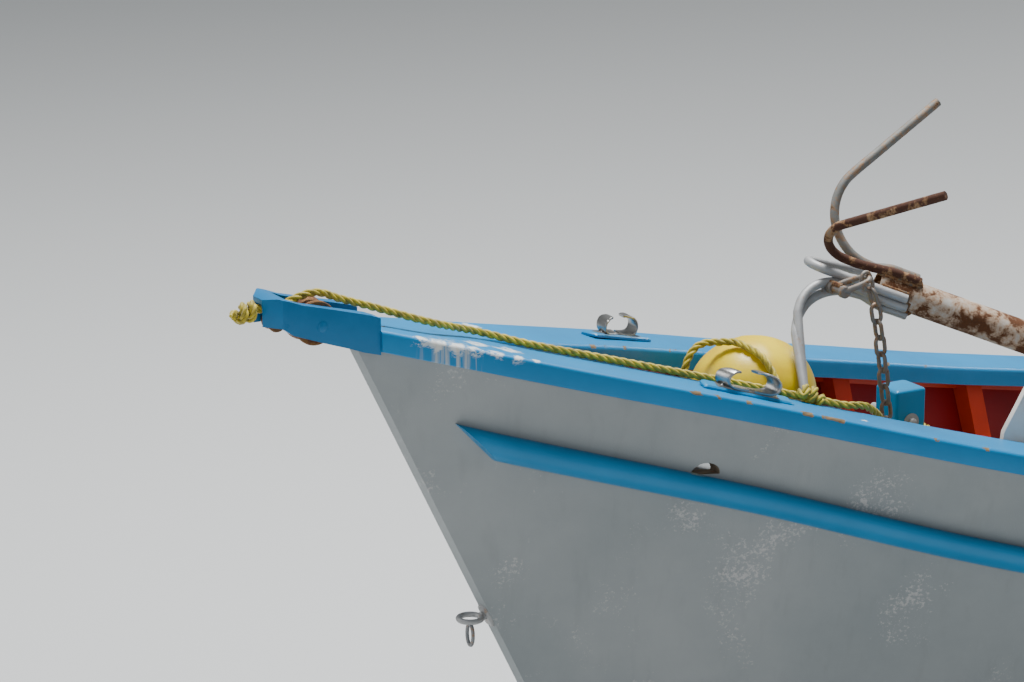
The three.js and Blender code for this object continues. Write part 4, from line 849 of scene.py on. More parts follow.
def cutAway(piece, cutters):
    for cutter in cutters:
        change = piece.modifiers.new("cut", "BOOLEAN")
        change.operation = "DIFFERENCE"
        change.solver = "EXACT"
        change.object = cutter
    settle(piece, 28)
    for cutter in cutters:
        bpy.data.objects.remove(cutter)


hullPaints = [hullGreyChalk, bottomGreenCopper, bulwarkRedOxide, silveredOak]
hullPlanking = makeObject("hullPlanking", shape, hullPaints)

cutters = []
foreAfts = [0.405, 0.44, 0.5, 0.58, 0.68, 0.8, 0.95, *[1.1 + 0.1375 * i for i in range(13)]]
workAfts = [hull["stepAft"] - 0.0003, *[2.9 + 0.3145 * i for i in range(18)], hullLong - hull["transom"]]
for name, afts, floorAt in (("foreRoom", foreAfts, foreFloor), ("workRoom", workAfts, workFloor)):
    room = bmesh.new()
    addSheetOfRings(room, [roomRing(aft, floorAt) for aft in afts], 2)
    cutters.append(makeObject(name, room))
for name, low, high in (("hold", (-2.35, -0.4, -0.15), (-1.55, 0.4, 1.0)),
                        ("well", (-0.035, -0.23, -0.2), (0.725, 0.23, 1.0))):
    room = bmesh.new()
    addBlock(room, low, high, 3, 0)
    cutters.append(makeObject(name, room))
room = bmesh.new()
addRod(room, (-3.82, 0, -0.6), (-3.82, 0, 0.12), 0.0235, 3)
cutters.append(makeObject("stockHole", room))
for aft in scupper["afts"]:
    floorZ = (deckEdge(aft) if aft < hull["stepAft"] else hull["workDeck"]) + 0.003
    arch = [(bowX - aft + scupper["half"] * math.cos(t), floorZ + scupper["high"] * math.sin(t))
            for t in circle(28)[:15]]
    room = bmesh.new()
    addPrism(room, arch, -1.6, 1.6, "y", 3, 0)
    cutters.append(makeObject("scupper", room))
cutAway(hullPlanking, cutters)
markWear(hullPlanking.data)
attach(hullPlanking, "boat")
bulwarks = [name for name in frame["nodes"] if name.startswith("bulwark_") and "ribs" not in name]
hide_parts("hull", "transom", *bulwarks)
print("hull planked")

# Cap rails: 165 by 45 mm planks bent to the sheer, edges rounded by paint and ropes
rail = {"wide": 0.164, "thick": 0.045, "from": 0.047, "roundTop": 0.010, "roundUnder": 0.004,
        "roundEnd": 0.006}


def roundedBar(wide, thick, above, below):
    # a cross-section, from the outer lower corner round to the outer upper one; u runs inboard, v up
    steps = 4
    corners = [(below, below - thick, 2, below), (wide - below, below - thick, 3, below),
               (wide - above, -above, 0, above), (above, -above, 1, above)]
    turns = [(u, v, r, 0.5 * math.pi * (quarter + i / steps))
             for u, v, quarter, r in corners for i in range(steps + 1)]
    return [(u + r * math.cos(t), v + r * math.sin(t)) for u, v, r, t in turns]


def railRing(aft, side, section):
    slope = (railHalf(aft + 0.005) - railHalf(aft - 0.005)) / 0.01
    stretch = math.hypot(1, slope)
    return [(bowX - aft, side * max(railHalf(aft) - u * stretch, 0.0004), sheerZ(aft) + v)
            for u, v in section]


railAfts = [rail["from"], 0.06, *[0.1 * i for i in range(1, 27)], *[2.75 + 0.1463 * i for i in range(41)]]
section = roundedBar(rail["wide"], rail["thick"], rail["roundTop"], rail["roundUnder"])
for sideName, side in (("port", 1), ("starboard", -1)):
    shape = bmesh.new()
    addSheetOfRings(shape, [railRing(aft, side, section) for aft in railAfts])
    makePiece(f"capRail{sideName.title()}", shape, "boat", [railBlueGloss],
        [f"cap_rail_{sideName}"], 50)
shape = bmesh.new()
rings = []
for aft in (hullLong - rail["wide"], hullLong - rail["wide"] / 2, hullLong):
    inner = railInner(aft) - 0.001
    corners = ((-inner, -rail["thick"]), (-inner, 0), (inner, 0), (inner, -rail["thick"]))
    rings.append([(bowX - aft, y, sheerZ(aft) + v) for y, v in corners])
addSheetOfRings(shape, rings)
bmesh.ops.bevel(shape, geom=[e for e in shape.edges if e.calc_face_angle(0) > 0.5], offset=rail["roundEnd"],
                segments=3, profile=0.5, affect="EDGES")
makePiece("transomRail", shape, "boat", [railBlueGloss], ["transom_rail"], 50)

# Rub strakes: half-round, 60 by 40 mm, planted on the planking, with the fore end cut on a slant
strake = {"from": 0.205, "to": 8.598, "slant": 0.075, "high": 0.06, "proud": 0.04}
strakeUpper = [(-0.25, 1), (0, 1), (0.3, 1), (0.5, 0.95), (0.68, 0.84), (0.84, 0.65), (0.95, 0.4),
    (1, 0.14)]
strakeRound = strakeUpper + [(out, -up) for out, up in strakeUpper[::-1]]
strakeAfts = [strake["from"] + strake["slant"] * i / 3 for i in range(4)]
strakeAfts += [0.31 + (strake["to"] - 0.31) * i / 84 for i in range(85)]
for sideName, side in (("port", 1), ("starboard", -1)):
    rings = []
    for aft in strakeAfts:
        slant = max(strake["from"] + strake["slant"] - aft, 0)
        ring = []
        for out, up in strakeRound:
            at = aft + slant * (1 - up) / 2
            z = deckEdge(at) + (up - 1) * strake["high"] / 2
            ring.append((bowX - at, side * (hullHalf(at, z) + out * strake["proud"]), z))
        rings.append(ring)
    shape = bmesh.new()
    addSheetOfRings(shape, rings)
    makePiece(f"rubStrake{sideName.title()}", shape, "boat", [strakeBlueGloss],
        [f"rub_strake_{sideName}"], 40)
print("rails and strakes bent")

# Bow fitting: two cheeks bolted over the stem head, with a bridge that closes the mouth in front
fitting = {"top": 1.511, "half": 0.057, "channel": 0.032, "mouth": 0.020, "shoulder": 0.159, "front": 0.186,
           "edge": 0.0035, "flare": 0.0118, "flareFrom": 0.06, "flareLong": 0.1067}
# distance ahead of the bow, height over the rail's end, in mm
fittingSide = [
    (-46.7, -64), (-12, -55), (18, -44), (73, -26), (110, -12.5), (137, -3), (159, 13), (186, 13),
    (186, 67), (165, 72), (147, 67), (132, 61.5), (118, 56), (46, 37.5), (-26, 19), (-46.7, 11)]
bowRollers = [
    # name, ahead of the bow, height, radius, half width, groove, pin's reach, pin's radius
    ("bow_roller_aft", 0.075, 1.519, 0.045, 0.0305, 0.004, 0.066, 0.0115),
    ("bow_roller_fore", 0.152, 1.528, 0.020, 0.018, 0.002, 0.060, 0.007),
]


def atBow(ahead, rise):
    return (bowX + ahead / 1000, fitting["top"] + rise / 1000)


def addNut(shape, place, axis, across, high, material=0):
    # a hexagon with its corners taken off
    r = across / math.sqrt(3)
    addLathe(shape, [(r * 0.9, 0), (r, high * 0.12), (r, high * 0.72), (r * 0.86, high), (0, high)], place,
        axis, material, 6)


shape = bmesh.new()
addPrism(shape, [atBow(*point) for point in fittingSide], -fitting["half"], fitting["half"], "y", 0, 0)
bowFitting = makeObject("bowFitting", shape, [steelBlueGloss])
cutters = []
room = bmesh.new()
channel, mouth = fitting["channel"], fitting["mouth"]
addBlock(room, (bowX + 0.018, -channel, 1.3), (bowX + 0.1421, channel, 1.8), 0, 0)
cutters.append(makeObject("channel", room))
room = bmesh.new()
rings = []
for ahead, half, roofRise in ((142, channel, 61), (148, channel, 61.3), (160, 0.026, 61.8),
                              (172, mouth, 60.3), (186, mouth, 57), (203, mouth, 53)):
    x, z = atBow(ahead, roofRise)
    arch = [(half - 0.008, z), (half - 0.003, z - 0.002), (half, z - 0.008), (half, 1.3)]
    rings.append([(x, -y, height) for y, height in arch[::-1]] + [(x, y, height) for y, height in arch])
addSheetOfRings(room, rings, smooth=False)
cutters.append(makeObject("mouth", room))
room = bmesh.new()
addPrism(room, [atBow(*point) for point in ((-70, -14), (30, -18), (30, 90), (-70, 90))], -channel, channel,
    "y", 0, 0)
cutters.append(makeObject("overRoot", room))
for side in (1, -1):
    room = bmesh.new()
    nose = [(fitting["shoulder"], fitting["half"]), (fitting["front"] + 0.0001, mouth), (0.26, mouth),
            (0.26, 0.09), (fitting["shoulder"], 0.09)]
    addPrism(room, [(bowX + ahead, side * y) for ahead, y in nose], 1.3, 1.8, "z", 0, 0)
    cutters.append(makeObject("nose", room))
cutAway(bowFitting, cutters)
softenEdges(bowFitting, fitting["edge"], 30)
settle(bowFitting, 40)
# the cheeks spread a little at the back, to lie nearly flush with the rails
for vertex in bowFitting.data.vertices:
    behind = bowX + fitting["flareFrom"] - vertex.co.x
    if abs(vertex.co.y) > fitting["half"] - 0.005 and behind > 0:
        spread = fitting["flare"] * min(behind / fitting["flareLong"], 1)
        vertex.co.y += math.copysign(spread, vertex.co.y)
bowFitting.data.set_sharp_from_angle(angle=math.radians(40))
markWear(bowFitting.data)
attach(bowFitting, "boat")
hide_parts("bow_fitting")

shape = bmesh.new()
(_, ahead, z, *_, reach, pin), (_, foreAhead, foreZ, *_, forePin) = bowRollers
x, cheekY = bowX + ahead, fitting["half"] - 0.0005
addRod(shape, (x, -reach, z), (x, cheekY + 0.0015, z), pin * 0.93)
pinHead = [(pin * 0.8, 0), (pin * 0.98, 0.0008), (pin * 0.98, 0.0035), (pin * 0.75, 0.0052), (0, 0.0058)]
addLathe(shape, pinHead, (x, cheekY, z), (0, 1, 0), 0, 28)
addRod(shape, (x, -cheekY, z), (x, -cheekY - 0.0025, z), pin * 1.7, 0, 24)
addNut(shape, (x, -cheekY - 0.0025, z), (0, -1, 0), pin * 1.9, 0.006)
# the fore pin is peened over and painted
foreX = bowX + foreAhead
addRod(shape, (foreX, -0.0574, foreZ), (foreX, 0.0574, foreZ), forePin * 0.93)
makePiece("bowPins", shape, "boat", [steelBlueGloss])
for name, ahead, z, radius, half, groove, reach, pin in bowRollers:
    shape = bmesh.new()
    profile = [(pin * 0.97, -half), (radius - 0.002, -half), (radius, -half + 0.002),
               (radius, -half * 0.75), (radius - groove, -half * 0.35)]
    profile += [(r, -along) for r, along in profile[::-1]]
    addLathe(shape, profile, (bowX + ahead, 0, z), (0, 1, 0), 0, 40)
    makePiece("roller" + name.rsplit("_", 1)[1].title(), shape, name, [rustedCasting], [name])
print("bow fitting built")

# Open chocks: a stainless strip curled into two horns, on a blue pad
chock = {"aft": 0.787, "half": 0.095, "wide": 0.046, "pad": 0.008, "strip": 0.0205, "thick": 0.0036,
    "skew": 0.45}
chockAft, padHalf, padWide, padHigh, stripHalf, stripThick, skew = chock.values()
# along and up from the pad's middle, in mm; forward first
hornPaths = [
    [(8, 5), (26, 9), (39, 13), (47, 18), (51, 26), (49.5, 35), (44, 41.5), (35, 44.5), (26, 44.5),
    (19, 42.5)],
    [(-4, 1.5), (-20, -2.5), (-34, -5), (-47, -4), (-55, 3), (-57.5, 13), (-53.5, 23), (-46, 30), (-35, 35),
    (-24, 38), (-15, 39)],
]
for sideName, side in (("port", 1), ("starboard", -1)):
    middle = (railHalf(chockAft) + railInner(chockAft)) / 2
    turn = -side * math.atan((railHalf(chockAft + 0.01) - railHalf(chockAft - 0.01)) / 0.02)
    slope = (sheerZ(chockAft - 0.1) - sheerZ(chockAft + 0.1)) / 0.2
    seat = Vector((bowX - chockAft, side * middle, sheerZ(chockAft)))
    turned = Matrix.Translation(seat) @ Matrix.Rotation(turn, 4, "Z")

    def onPad(along, across, rise):
        return turned @ Vector((along, across, rise + slope * along))

    shape = bmesh.new()
    rings = []
    # the pad is rounded down at both ends
    slices = [(-padHalf, 0), (0.0005 - padHalf, 0.5), (0.004 - padHalf, 0.85), (0.010 - padHalf, 1), (0, 1)]
    slices += [(-along, share) for along, share in slices[-2::-1]]
    for along, share in slices:
        half, high = padWide / 2 - 0.004 * (1 - share), 0.0005 + padHigh * share
        corners = [(half - 0.003, high), (half, high * 0.6), (half, 0)]
        corners = [(-y, z) for y, z in corners[::-1]] + corners
        rings.append([onPad(along, y, z) for y, z in corners])
    addSheetOfRings(shape, rings)
    base = [(-0.066, 0), (-0.062, 0.0022), (-0.05, stripThick), (0.05, stripThick), (0.062, 0.0022),
        (0.066, 0)]
    rings = []
    for along, high in base:
        corners = ((-0.018, 0), (-0.017, high), (0.017, high), (0.018, 0))
        rings.append([onPad(along, y, padHigh + z) for y, z in corners])
    addSheetOfRings(shape, rings, 1)
    for points in hornPaths:
        path = smoothPath([(a / 1000, 0, (b + 8) / 1000 - slope * a / 1000) for a, b in points], 40)
        rings = []
        for i, point in enumerate(path):
            before, after = path[max(i - 1, 0)], path[min(i + 1, len(path) - 1)]
            run = Vector(after - before).normalized()
            out = Vector((-run.z, 0, run.x))
            share = i / (len(path) - 1)
            # full width after a fifth of the way, half of it at the tip
            half = stripHalf * (0.85 + 0.15 * min(share / 0.2, 1)) * (1 - 0.5 * max(share - 0.7, 0) / 0.3)
            thick = stripThick * (1 - 0.3 * share)
            corners = [(-1, -0.5), (-1, 0.5), (-0.9, 1), (0.9, 1), (1, 0.5), (1, -0.5), (0.9, -1),
                (-0.9, -1)]
            ring = []
            for across, through in corners:
                y = half * across
                alongPad = point[0] + out.x * thick * through - side * y * skew
                ring.append(onPad(alongPad, y,
                    point[2] + out.z * thick * through + side * y * skew * slope))
            rings.append(ring)
        addSheetOfRings(shape, rings, 1)
    for along in (-0.052, 0.052):
        screwHead = [(0.0048, 0), (0.0046, 0.0012), (0.003, 0.0022), (0, 0.0026)]
        addLathe(shape, screwHead, onPad(along, 0, padHigh + stripThick - 0.0005), material=1, sides=16)
    makePiece(f"chock{sideName.title()}", shape, "boat", [strakeBlueGloss, saltedStainless],
        [f"chock_{sideName}"], 40)

# The foredeck post: a squared timber with a weathered crown, and a pin through it
shape = bmesh.new()
rings = []
crown = [(0.90, 1), (1.0, 1), (1.1, 1), (1.1725, 1), (1.1755, 0.985), (1.178, 0.94), (1.1805, 0.78),
         (1.1825, 0.5), (1.184, 0.05)]
postX, pinZ = bowX - post["aft"], post["pinZ"]
for z, share in crown:
    corners = [squared(t, 0.16) for t in circle(40)]
    rings.append([(postX + post["half"] * share * u, post["half"] * share * v, z) for u, v in corners])
addSheetOfRings(shape, rings)
addRod(shape, (postX, -0.102, pinZ), (postX, 0.052, pinZ), 0.010, 1, 24, bevel=0.003)
for side in (1, -1):
    washer = [(0.02, 0), (0.02, 0.002), (0.0105, 0.0025)]
    addLathe(shape, washer, (postX, side * (post["half"] + 0.0002), pinZ), (0, side, 0), 1, 24)
makePiece("samsonPost", shape, "boat", [strakeBlueGloss, dippedZinc], ["samson_post"], 50)

# The eye on the stem and the link in it
eye = {"z": 0.835, "ring": 0.024, "wire": 0.006, "plateHalf": 0.018, "plateHigh": 0.026, "reach": 0.040}
eyeZ, ringHalf, wire, plateHalf, plateHigh, eyeReach = eye.values()
rake = (forefoot - stemHead) / (hullTopZ(stemHead) - bottomZ(forefoot))
stemFace = bowX - stemHead - (hullTopZ(stemHead) - eyeZ) * rake
eyeX = stemFace + eyeReach
shape = bmesh.new()
ringPath = [(eyeX + ringHalf * math.cos(t), ringHalf * math.sin(t), eyeZ) for t in circle(40)]
addTube(shape, ringPath, wire, 0, 14, True)
addRod(shape, (stemFace - 0.02, 0, eyeZ), (eyeX - ringHalf + 0.001, 0, eyeZ), 0.0088)
lean = Vector((rake, 0, 1)).normalized()
facing = Vector((1, 0, -rake)).normalized()
rings = []
for depth, share in ((-0.02, 1), (0.002, 1), (0.0045, 0.96), (0.0058, 0.88)):
    middle = Vector((stemFace, 0, eyeZ)) + facing * depth
    corners = [squared(t, 0.5) for t in circle(24)]
    rings.append([middle + Vector((0, plateHalf * share * u, 0)) + lean * plateHigh * share * v
                  for u, v in corners])
addSheetOfRings(shape, rings)
makePiece("bowEye", shape, "boat", [dippedZinc], ["bow_eye"])
shape = bmesh.new()
# it hangs in the ring, 25 by 46 mm
linkZ = eyeZ - ringHalf + wire + 0.0043 - 0.022
linkPath = [(eyeX, 0.0125 * math.sin(t), linkZ + 0.023 * math.cos(t)) for t in circle(12, 0.5)]
addTube(shape, smoothPath(linkPath, 48, True), 0.004, closed=True)
makePiece("bowLink", shape, "boat", [boltZinc], ["bow_link"])

# The float: a moulded ball with a hole through it, its two halves joined by a fine seam
ball = {"radius": 0.129, "half": 0.134, "hole": 0.022, "lip": 0.038, "seam": 0.0009}
ballRadius, ballHalf, hole, lip, seam = ball.values()
mouthIn = [(hole, 0.10), (hole, 0.128), (hole + 0.004, 0.1335), (lip - 0.003, ballHalf)]
profile = [(radius, -along) for radius, along in mouthIn]
for i in range(49):
    t = math.pi * i / 48
    raised = seam * math.exp(-((math.cos(t) * ballHalf) / 0.0022) ** 2)
    profile.append((max(ballRadius * math.sin(t) ** 0.8, lip) + raised, -ballHalf * math.cos(t)))
profile += mouthIn[::-1]
shape = bmesh.new()
addLathe(shape, profile, floatMiddle, (1, 0, 0), 0, 72)
for end in (-1, 1):
    collar = [(0.052, 0), (0.054, 0.0014), (0.0565, 0.0014), (0.0585, 0)]
    addLathe(shape, collar, Vector(floatMiddle) + Vector((end * 0.118, 0, 0)), (end, 0, 0), 0, 48)
makePiece("float", shape, "boat", [mouldedFloatYellow], ["float"], 55)
print("foredeck fittings placed")

# Home-made grapnel: five bars welded round the end of a pipe and bent into hooks
grapnel = {"head": (3.052, 0.055, 1.435), "tailAft": 2.4, "tailY": 0.635, "pipe": 0.035, "wall": 0.0045,
    "bar": 0.010}
head = Vector(grapnel["head"])
tail = Vector((bowX - grapnel["tailAft"], grapnel["tailY"],
    sheerZ(grapnel["tailAft"]) + grapnel["pipe"] + 0.001))
along = (head - tail).normalized()
upward = (Vector((0, 0, 1)) - along * along.z).normalized()
toStarboard = along.cross(upward)
# where the bar lies round the pipe, lap on it, reach past its end, bend radius, opening of the hook, arm,
# the way it points, finish
arms = [
    (7, 0.084, 0.140, 0.116, 58, 0.251, 22, 1),
    (-21, 0.086, 0.147, 0.065, 53, 0.246, -40, 2),
    (-91, 0.065, 0.155, 0.037, 40, 0.190, 93, 3),
    (-119, 0.072, 0.156, 0.087, 72, 0.335, -144, 3),
    (-159, 0.084, 0.151, 0.119, 70.5, 0.345, -136.5, 3),
]


def outward(degrees):
    angle = math.radians(degrees)
    return upward * math.cos(angle) + toStarboard * math.sin(angle)


def armLine(roll, lap, reach, bend, opening, arm, swing):
    out, aside = outward(roll), outward(swing)
    offset = grapnel["pipe"] + grapnel["bar"] - 0.003
    turn = math.radians(180 - opening)
    start, low = reach - bend, offset * 0.8
    marks = [(-lap, offset, 0), (-lap * 0.6, offset, 0), (-0.02, offset, 0), (start * 0.6, low, 0)]
    marks += [(start + bend * math.sin(turn * i / 8), low, bend * (1 - math.cos(turn * i / 8)))
        for i in range(9)]
    endS, endR = start + bend * math.sin(turn), bend * (1 - math.cos(turn))
    marks += [(endS + arm * share * math.cos(turn), low, endR + arm * share * math.sin(turn))
        for share in (0.33, 0.67, 1)]
    return [head + along * s + out * r + aside * bent for s, r, bent in marks]


def barRings(line, radius):
    # a round bar with flame-cut ends: the corner only just taken off
    blunt = 0.0012
    side, over = framesAlong(line)
    run = np.gradient(line, axis=0)
    run /= np.linalg.norm(run, axis=1)[:, None]
    rows = [(line[0], side[0], over[0], radius - blunt),
        (line[0] + run[0] * blunt, side[0], over[0], radius)]
    rows += [(line[i], side[i], over[i], radius * (1 + random.uniform(-0.012, 0.012)))
        for i in range(1, len(line) - 1)]
    rows += [(line[-1] - run[-1] * blunt, side[-1], over[-1], radius),
        (line[-1], side[-1], over[-1], radius - blunt)]
    return [[p + r * (math.cos(t) * s + math.sin(t) * o) for t in circle(18)] for p, s, o, r in rows]


shape = bmesh.new()
span = (head - tail).length
pipe, bore = grapnel["pipe"], grapnel["pipe"] - grapnel["wall"]
profile = [(0.001, span - 0.12), (bore, span - 0.12), (bore, span - 0.001), (bore + 0.001, span),
           (pipe - 0.0012, span), (pipe, span - 0.0012), (pipe, span * 0.66), (pipe, span * 0.33),
           (pipe, 0.0012), (pipe - 0.0012, 0), (bore, 0), (bore, 0.12), (0.001, 0.12)]
addLathe(shape, profile, tail, along, 0, 48)
for arm in arms:
    line, _ = evenPath(smoothPath(armLine(*arm[:7]), 160), 0.006)
    addSheetOfRings(shape, barRings(line, grapnel["bar"]), arm[7])
    # a rippled weld down each side of the lap and round its end
    roll, lap = arm[:2]
    seam = math.degrees(0.0098 / pipe)
    for edge in (-seam, seam):
        foot = head + outward(roll + edge) * (pipe + 0.0022)
        bead = [foot + along * (-lap + (lap - 0.004) * i / 26) for i in range(27)]
        addTube(shape, bead, 0.0042, 4, 8, swell=lambda share: 0.86 + 0.2 * abs(math.sin(share * 40)))
    capFoot = head - along * (lap + 0.0022)
    cap = [capFoot + outward(roll + turn) * (pipe + 0.0026) for turn in (-15, -8, 0, 8, 15)]
    addTube(shape, cap, 0.0046, 4, 8)
# the shackle hangs under the bars by its welded pin
shackle = {"at": Vector((3.163, 0.072, 1.441)), "half": 0.022, "wire": 0.0065,
    "bow": Vector((-0.050, 0.034, 0.027))}
across = Vector((0, 1, 0))
pinAt, shackleHalf, shackleWire, bowReach = shackle.values()
leg = [(1, -0.12), (1, 0), (1, 0.25), (1, 0.5), (0.8, 0.85), (0.42, 0.98), (0, 1.03)]
bowLine = leg + [(-a, b) for a, b in leg[-2::-1]]
bowPath = smoothPath([pinAt + across * a * shackleHalf + bowReach * b for a, b in bowLine], 72)
line, _ = evenPath(bowPath, 0.0025)
addTube(shape, line, shackleWire, 5, 16, swell=lambda share: 1 + 0.12 * math.cos(2 * math.pi * share))
# its two eyes, the pin, the pin's head
for low, high, radius in ((-shackleHalf - 0.0075, -shackleHalf + 0.0075, 0.0135),
                          (shackleHalf - 0.0075, shackleHalf + 0.0075, 0.0135)):
    addRod(shape, pinAt + across * low, pinAt + across * high, radius, 5, 24, bevel=0.002)
addRod(shape, pinAt - across * 0.050, pinAt + across * 0.028, 0.008, 5)
addRod(shape, pinAt - across * 0.052, pinAt - across * 0.036, 0.0115, 5, 24, bevel=0.002)
weld = [pinAt + across * y + Vector((0, 0, 0.0105)) for y in (-0.034, -0.02, -0.008, 0.008, 0.018)]
addTube(shape, weld, 0.006, 4, 8)
makePiece("grapnel", shape, "boat",
    [rustedPipe, greyBar, rustedBar, dippedZinc, weldBead, chainSteel], ["grapnel_anchor"], 40)

# Chain of 9 mm wire: one link through the next, hanging to the foredeck, with the end piled by the post
chain = {"wire": 0.0046, "pitch": 0.0368, "half": 0.0118, "count": 13, "lean": 0.077}
longHalf = chain["pitch"] / 2 + chain["wire"] * 0.6
chainTop = shackle["at"] + shackle["bow"] + Vector((0, 0, 0.0065 + 0.0025 + chain["wire"] - longHalf))


def addLink(shape, middle, down, flat):
    # a stadium bent from round wire, with the weld on one side
    down, flat = Vector(down).normalized(), Vector(flat)
    flat = (flat - down * flat.dot(down)).normalized()
    straight = longHalf - chain["half"]
    points = []
    for end in (1, -1):
        for t in circle(16)[:9]:
            lengthwise = down * end * (straight + chain["half"] * math.sin(t))
            points.append(middle + lengthwise + flat * end * chain["half"] * math.cos(t))
    addTube(shape, points, chain["wire"], closed=True)


shape = bmesh.new()
hung = []
for i in range(chain["count"]):
    lean = chain["lean"] * (i / (chain["count"] - 1)) ** 0.6
    hung.append(chainTop + Vector((-lean, 0, -i * chain["pitch"])))
for i, middle in enumerate(hung):
    before, after = hung[max(i - 1, 0)], hung[min(i + 1, len(hung) - 1)]
    addLink(shape, middle, after - before, (0, 1, 0) if i % 2 else (1, 0.1, 0))
lastAft, lastY = bowX - hung[-1].x, hung[-1].y
piled = [(0.016, 0.012), (0.044, 0.022), (0.073, 0.018), (0.098, 0.002), (0.107, -0.027), (0.093, -0.052),
         (0.070, -0.070)]
for i, ((aft, y), (nextAft, nextY)) in enumerate(zip(piled, piled[1:])):
    flat = i % 2
    run = Vector((aft - nextAft, nextY - y, 0))
    rise = chain["wire"] + (0.007 if flat else 0.001) + (0.009 if i == 0 else 0)
    place = Vector((bowX - lastAft - aft, lastY + y, deckZ(lastAft + aft, abs(lastY + y)) + rise))
    addLink(shape, place, run, (-run.y, run.x, 0.9) if flat else (-run.y, run.x, 0.05))
makePiece("anchorChain", shape, "boat", [chainSteel], ["anchor_chain"], 60)

# The bottom board stood on the foredeck against the port rail
board = {"fromAft": 1.372, "toAft": 1.830, "above": 0.118, "lean": 0.059, "thick": 0.018}
foreAft, hindAft, above, boardLean, boardThick = board.values()
start, end = [Vector((bowX - aft, railInner(aft) - boardThick, 0)) for aft in (foreAft, hindAft)]
run = (start - end).normalized()
boardLong = (start - end).length
outline = [(0, deckZ(foreAft, start.y) + 0.001), (0, sheerZ(foreAft) - 0.02),
           (-0.004, sheerZ(foreAft) + 0.01), (-boardLean, sheerZ(foreAft) + above),
           (-boardLong, sheerZ(hindAft) + above),
           (-boardLong, deckZ(hindAft, end.y) + 0.001)]
shape = bmesh.new()
addPrism(shape, outline, -boardThick, 0, "y", 0, 0.0025)
shape.transform(Matrix.Translation(start) @ Matrix.Rotation(math.atan2(run.y, run.x), 4, "Z"))
makePiece("bottomBoard", shape, "boat", [boardWhiteEnamel], ["bottom_board"], 40)
print("grapnel, chain and board placed")

# CAD solids that stay take rounded edges; widths in mm
roundEdges = {
    "bulwark_ribs_port": 4, "bulwark_ribs_starboard": 4, "foredeck": 1.5, "working_deck": 1.5, "keel": 8,
    "wheelhouse": 3, "wheelhouse_door": 3, "front_pane_port": 0.6, "front_pane_starboard": 0.6,
    "side_pane_port": 0.6, "side_pane_starboard": 0.6, "back_pane": 0.6, "engine_casing": 3,
    "engine_casing_lid": 4, "helm_cabinet": 4, "trawl_winch_frame": 3, "hatch_coaming": 4, "hatch_lid": 4,
    "stern_gantry": 5, "rudder": 3, "propeller_shaft": 1}
for name, width in roundEdges.items():
    softenEdges(frame["nodes"][name], width / 1000, 38)

# Wheelhouse: the walls are the CAD's, with trims planted on them
house = {"front": 1.2, "back": -0.35, "half": 0.56, "rake": 0.07, "top": 2.14, "base": 0.2403,
         "low": 1.48, "high": 1.90, "skirt": 0.055}
houseBack, houseHalf, houseBase, houseTop = [house[key] for key in ("back", "half", "base", "top")]
trim = {"wide": 0.03, "proud": 0.009}


def frontX(z):
    return house["front"] - house["rake"] * (z - houseBase) / (houseTop - houseBase)


def addTrim(shape, plane, low, high, wide=trim["wide"], proud=trim["proud"], material=0):
    # four mitred-looking bars round an opening; the plane turns across, up and out into the boat's axes
    part = bmesh.new()
    (u0, v0), (u1, v1) = low, high
    addBlock(part, (u0 - wide, v0 - wide * 1.3, -0.001), (u1 + wide, v0, proud * 1.6))
    addBlock(part, (u0 - wide, v1, -0.001), (u1 + wide, v1 + wide, proud))
    for u in (u0 - wide, u1):
        addBlock(part, (u, v0, -0.001), (u + wide, v1, proud * 0.95))
    part.transform(plane)
    appendPart(shape, part, material)


def wallPlane(place, across, up):
    across, up = Vector(across).normalized(), Vector(up).normalized()
    turned = Matrix((across, up, across.cross(up))).transposed().to_4x4()
    return Matrix.Translation(Vector(place)) @ turned


lean = (-house["rake"], 0, houseTop - houseBase)
frontPlane = wallPlane((frontX(houseBase), 0, houseBase), (0, 1, 0), lean)
steep = math.hypot(1, house["rake"] / (houseTop - houseBase))
low, high = [(house[key] - houseBase) * steep for key in ("low", "high")]
shape = bmesh.new()
for y0, y1 in ((0.06, 0.5), (-0.5, -0.06)):
    addTrim(shape, frontPlane, (y0, low), (y1, high))
inset = 0.006
for side in (1, -1):
    plane = wallPlane((0, side * houseHalf, 0), (-side, 0, 0), (0, 0, 1))
    u0, u1 = sorted((-side * 0.05, -side * 0.83))
    addTrim(shape, plane, (u0, house["low"]), (u1, house["high"]))
    y = side * (houseHalf - inset)
    for foot, top, shift in ((frontX(houseBase), frontX(houseTop), -inset), (houseBack, houseBack, inset)):
        addRod(shape, (foot + shift, y, houseBase + 0.001), (top + shift, y, houseTop - 0.001), 0.012)
    addBlock(shape, (houseBack + 0.01, side * (houseHalf - 0.0005), houseBase + 0.001),
             (frontX(0.3) - 0.004, side * (houseHalf + 0.008), houseBase + house["skirt"]))
backPlane = wallPlane((houseBack, 0, 0), (0, -1, 0), (0, 0, 1))
addTrim(shape, backPlane, (0.12, house["low"]), (0.48, house["high"]))
addBlock(shape, (houseBack - 0.007, -0.55, houseBase + 0.001),
    (houseBack + 0.0005, 0, houseBase + house["skirt"]))
makePiece("houseTrims", shape, "boat", [varnishedMahogany])

# the doorway's lining stands clear of the swinging door
shape = bmesh.new()
for y0, y1, z0, z1 in ((0.004, 0.036, 0.27, 1.995), (0, 0.52, 1.968, 1.998)):
    addBlock(shape, (houseBack - 0.007, y0, z0), (houseBack + 0.0005, y1, z1))
makePiece("doorLining", shape, "boat", [varnishedMahogany])

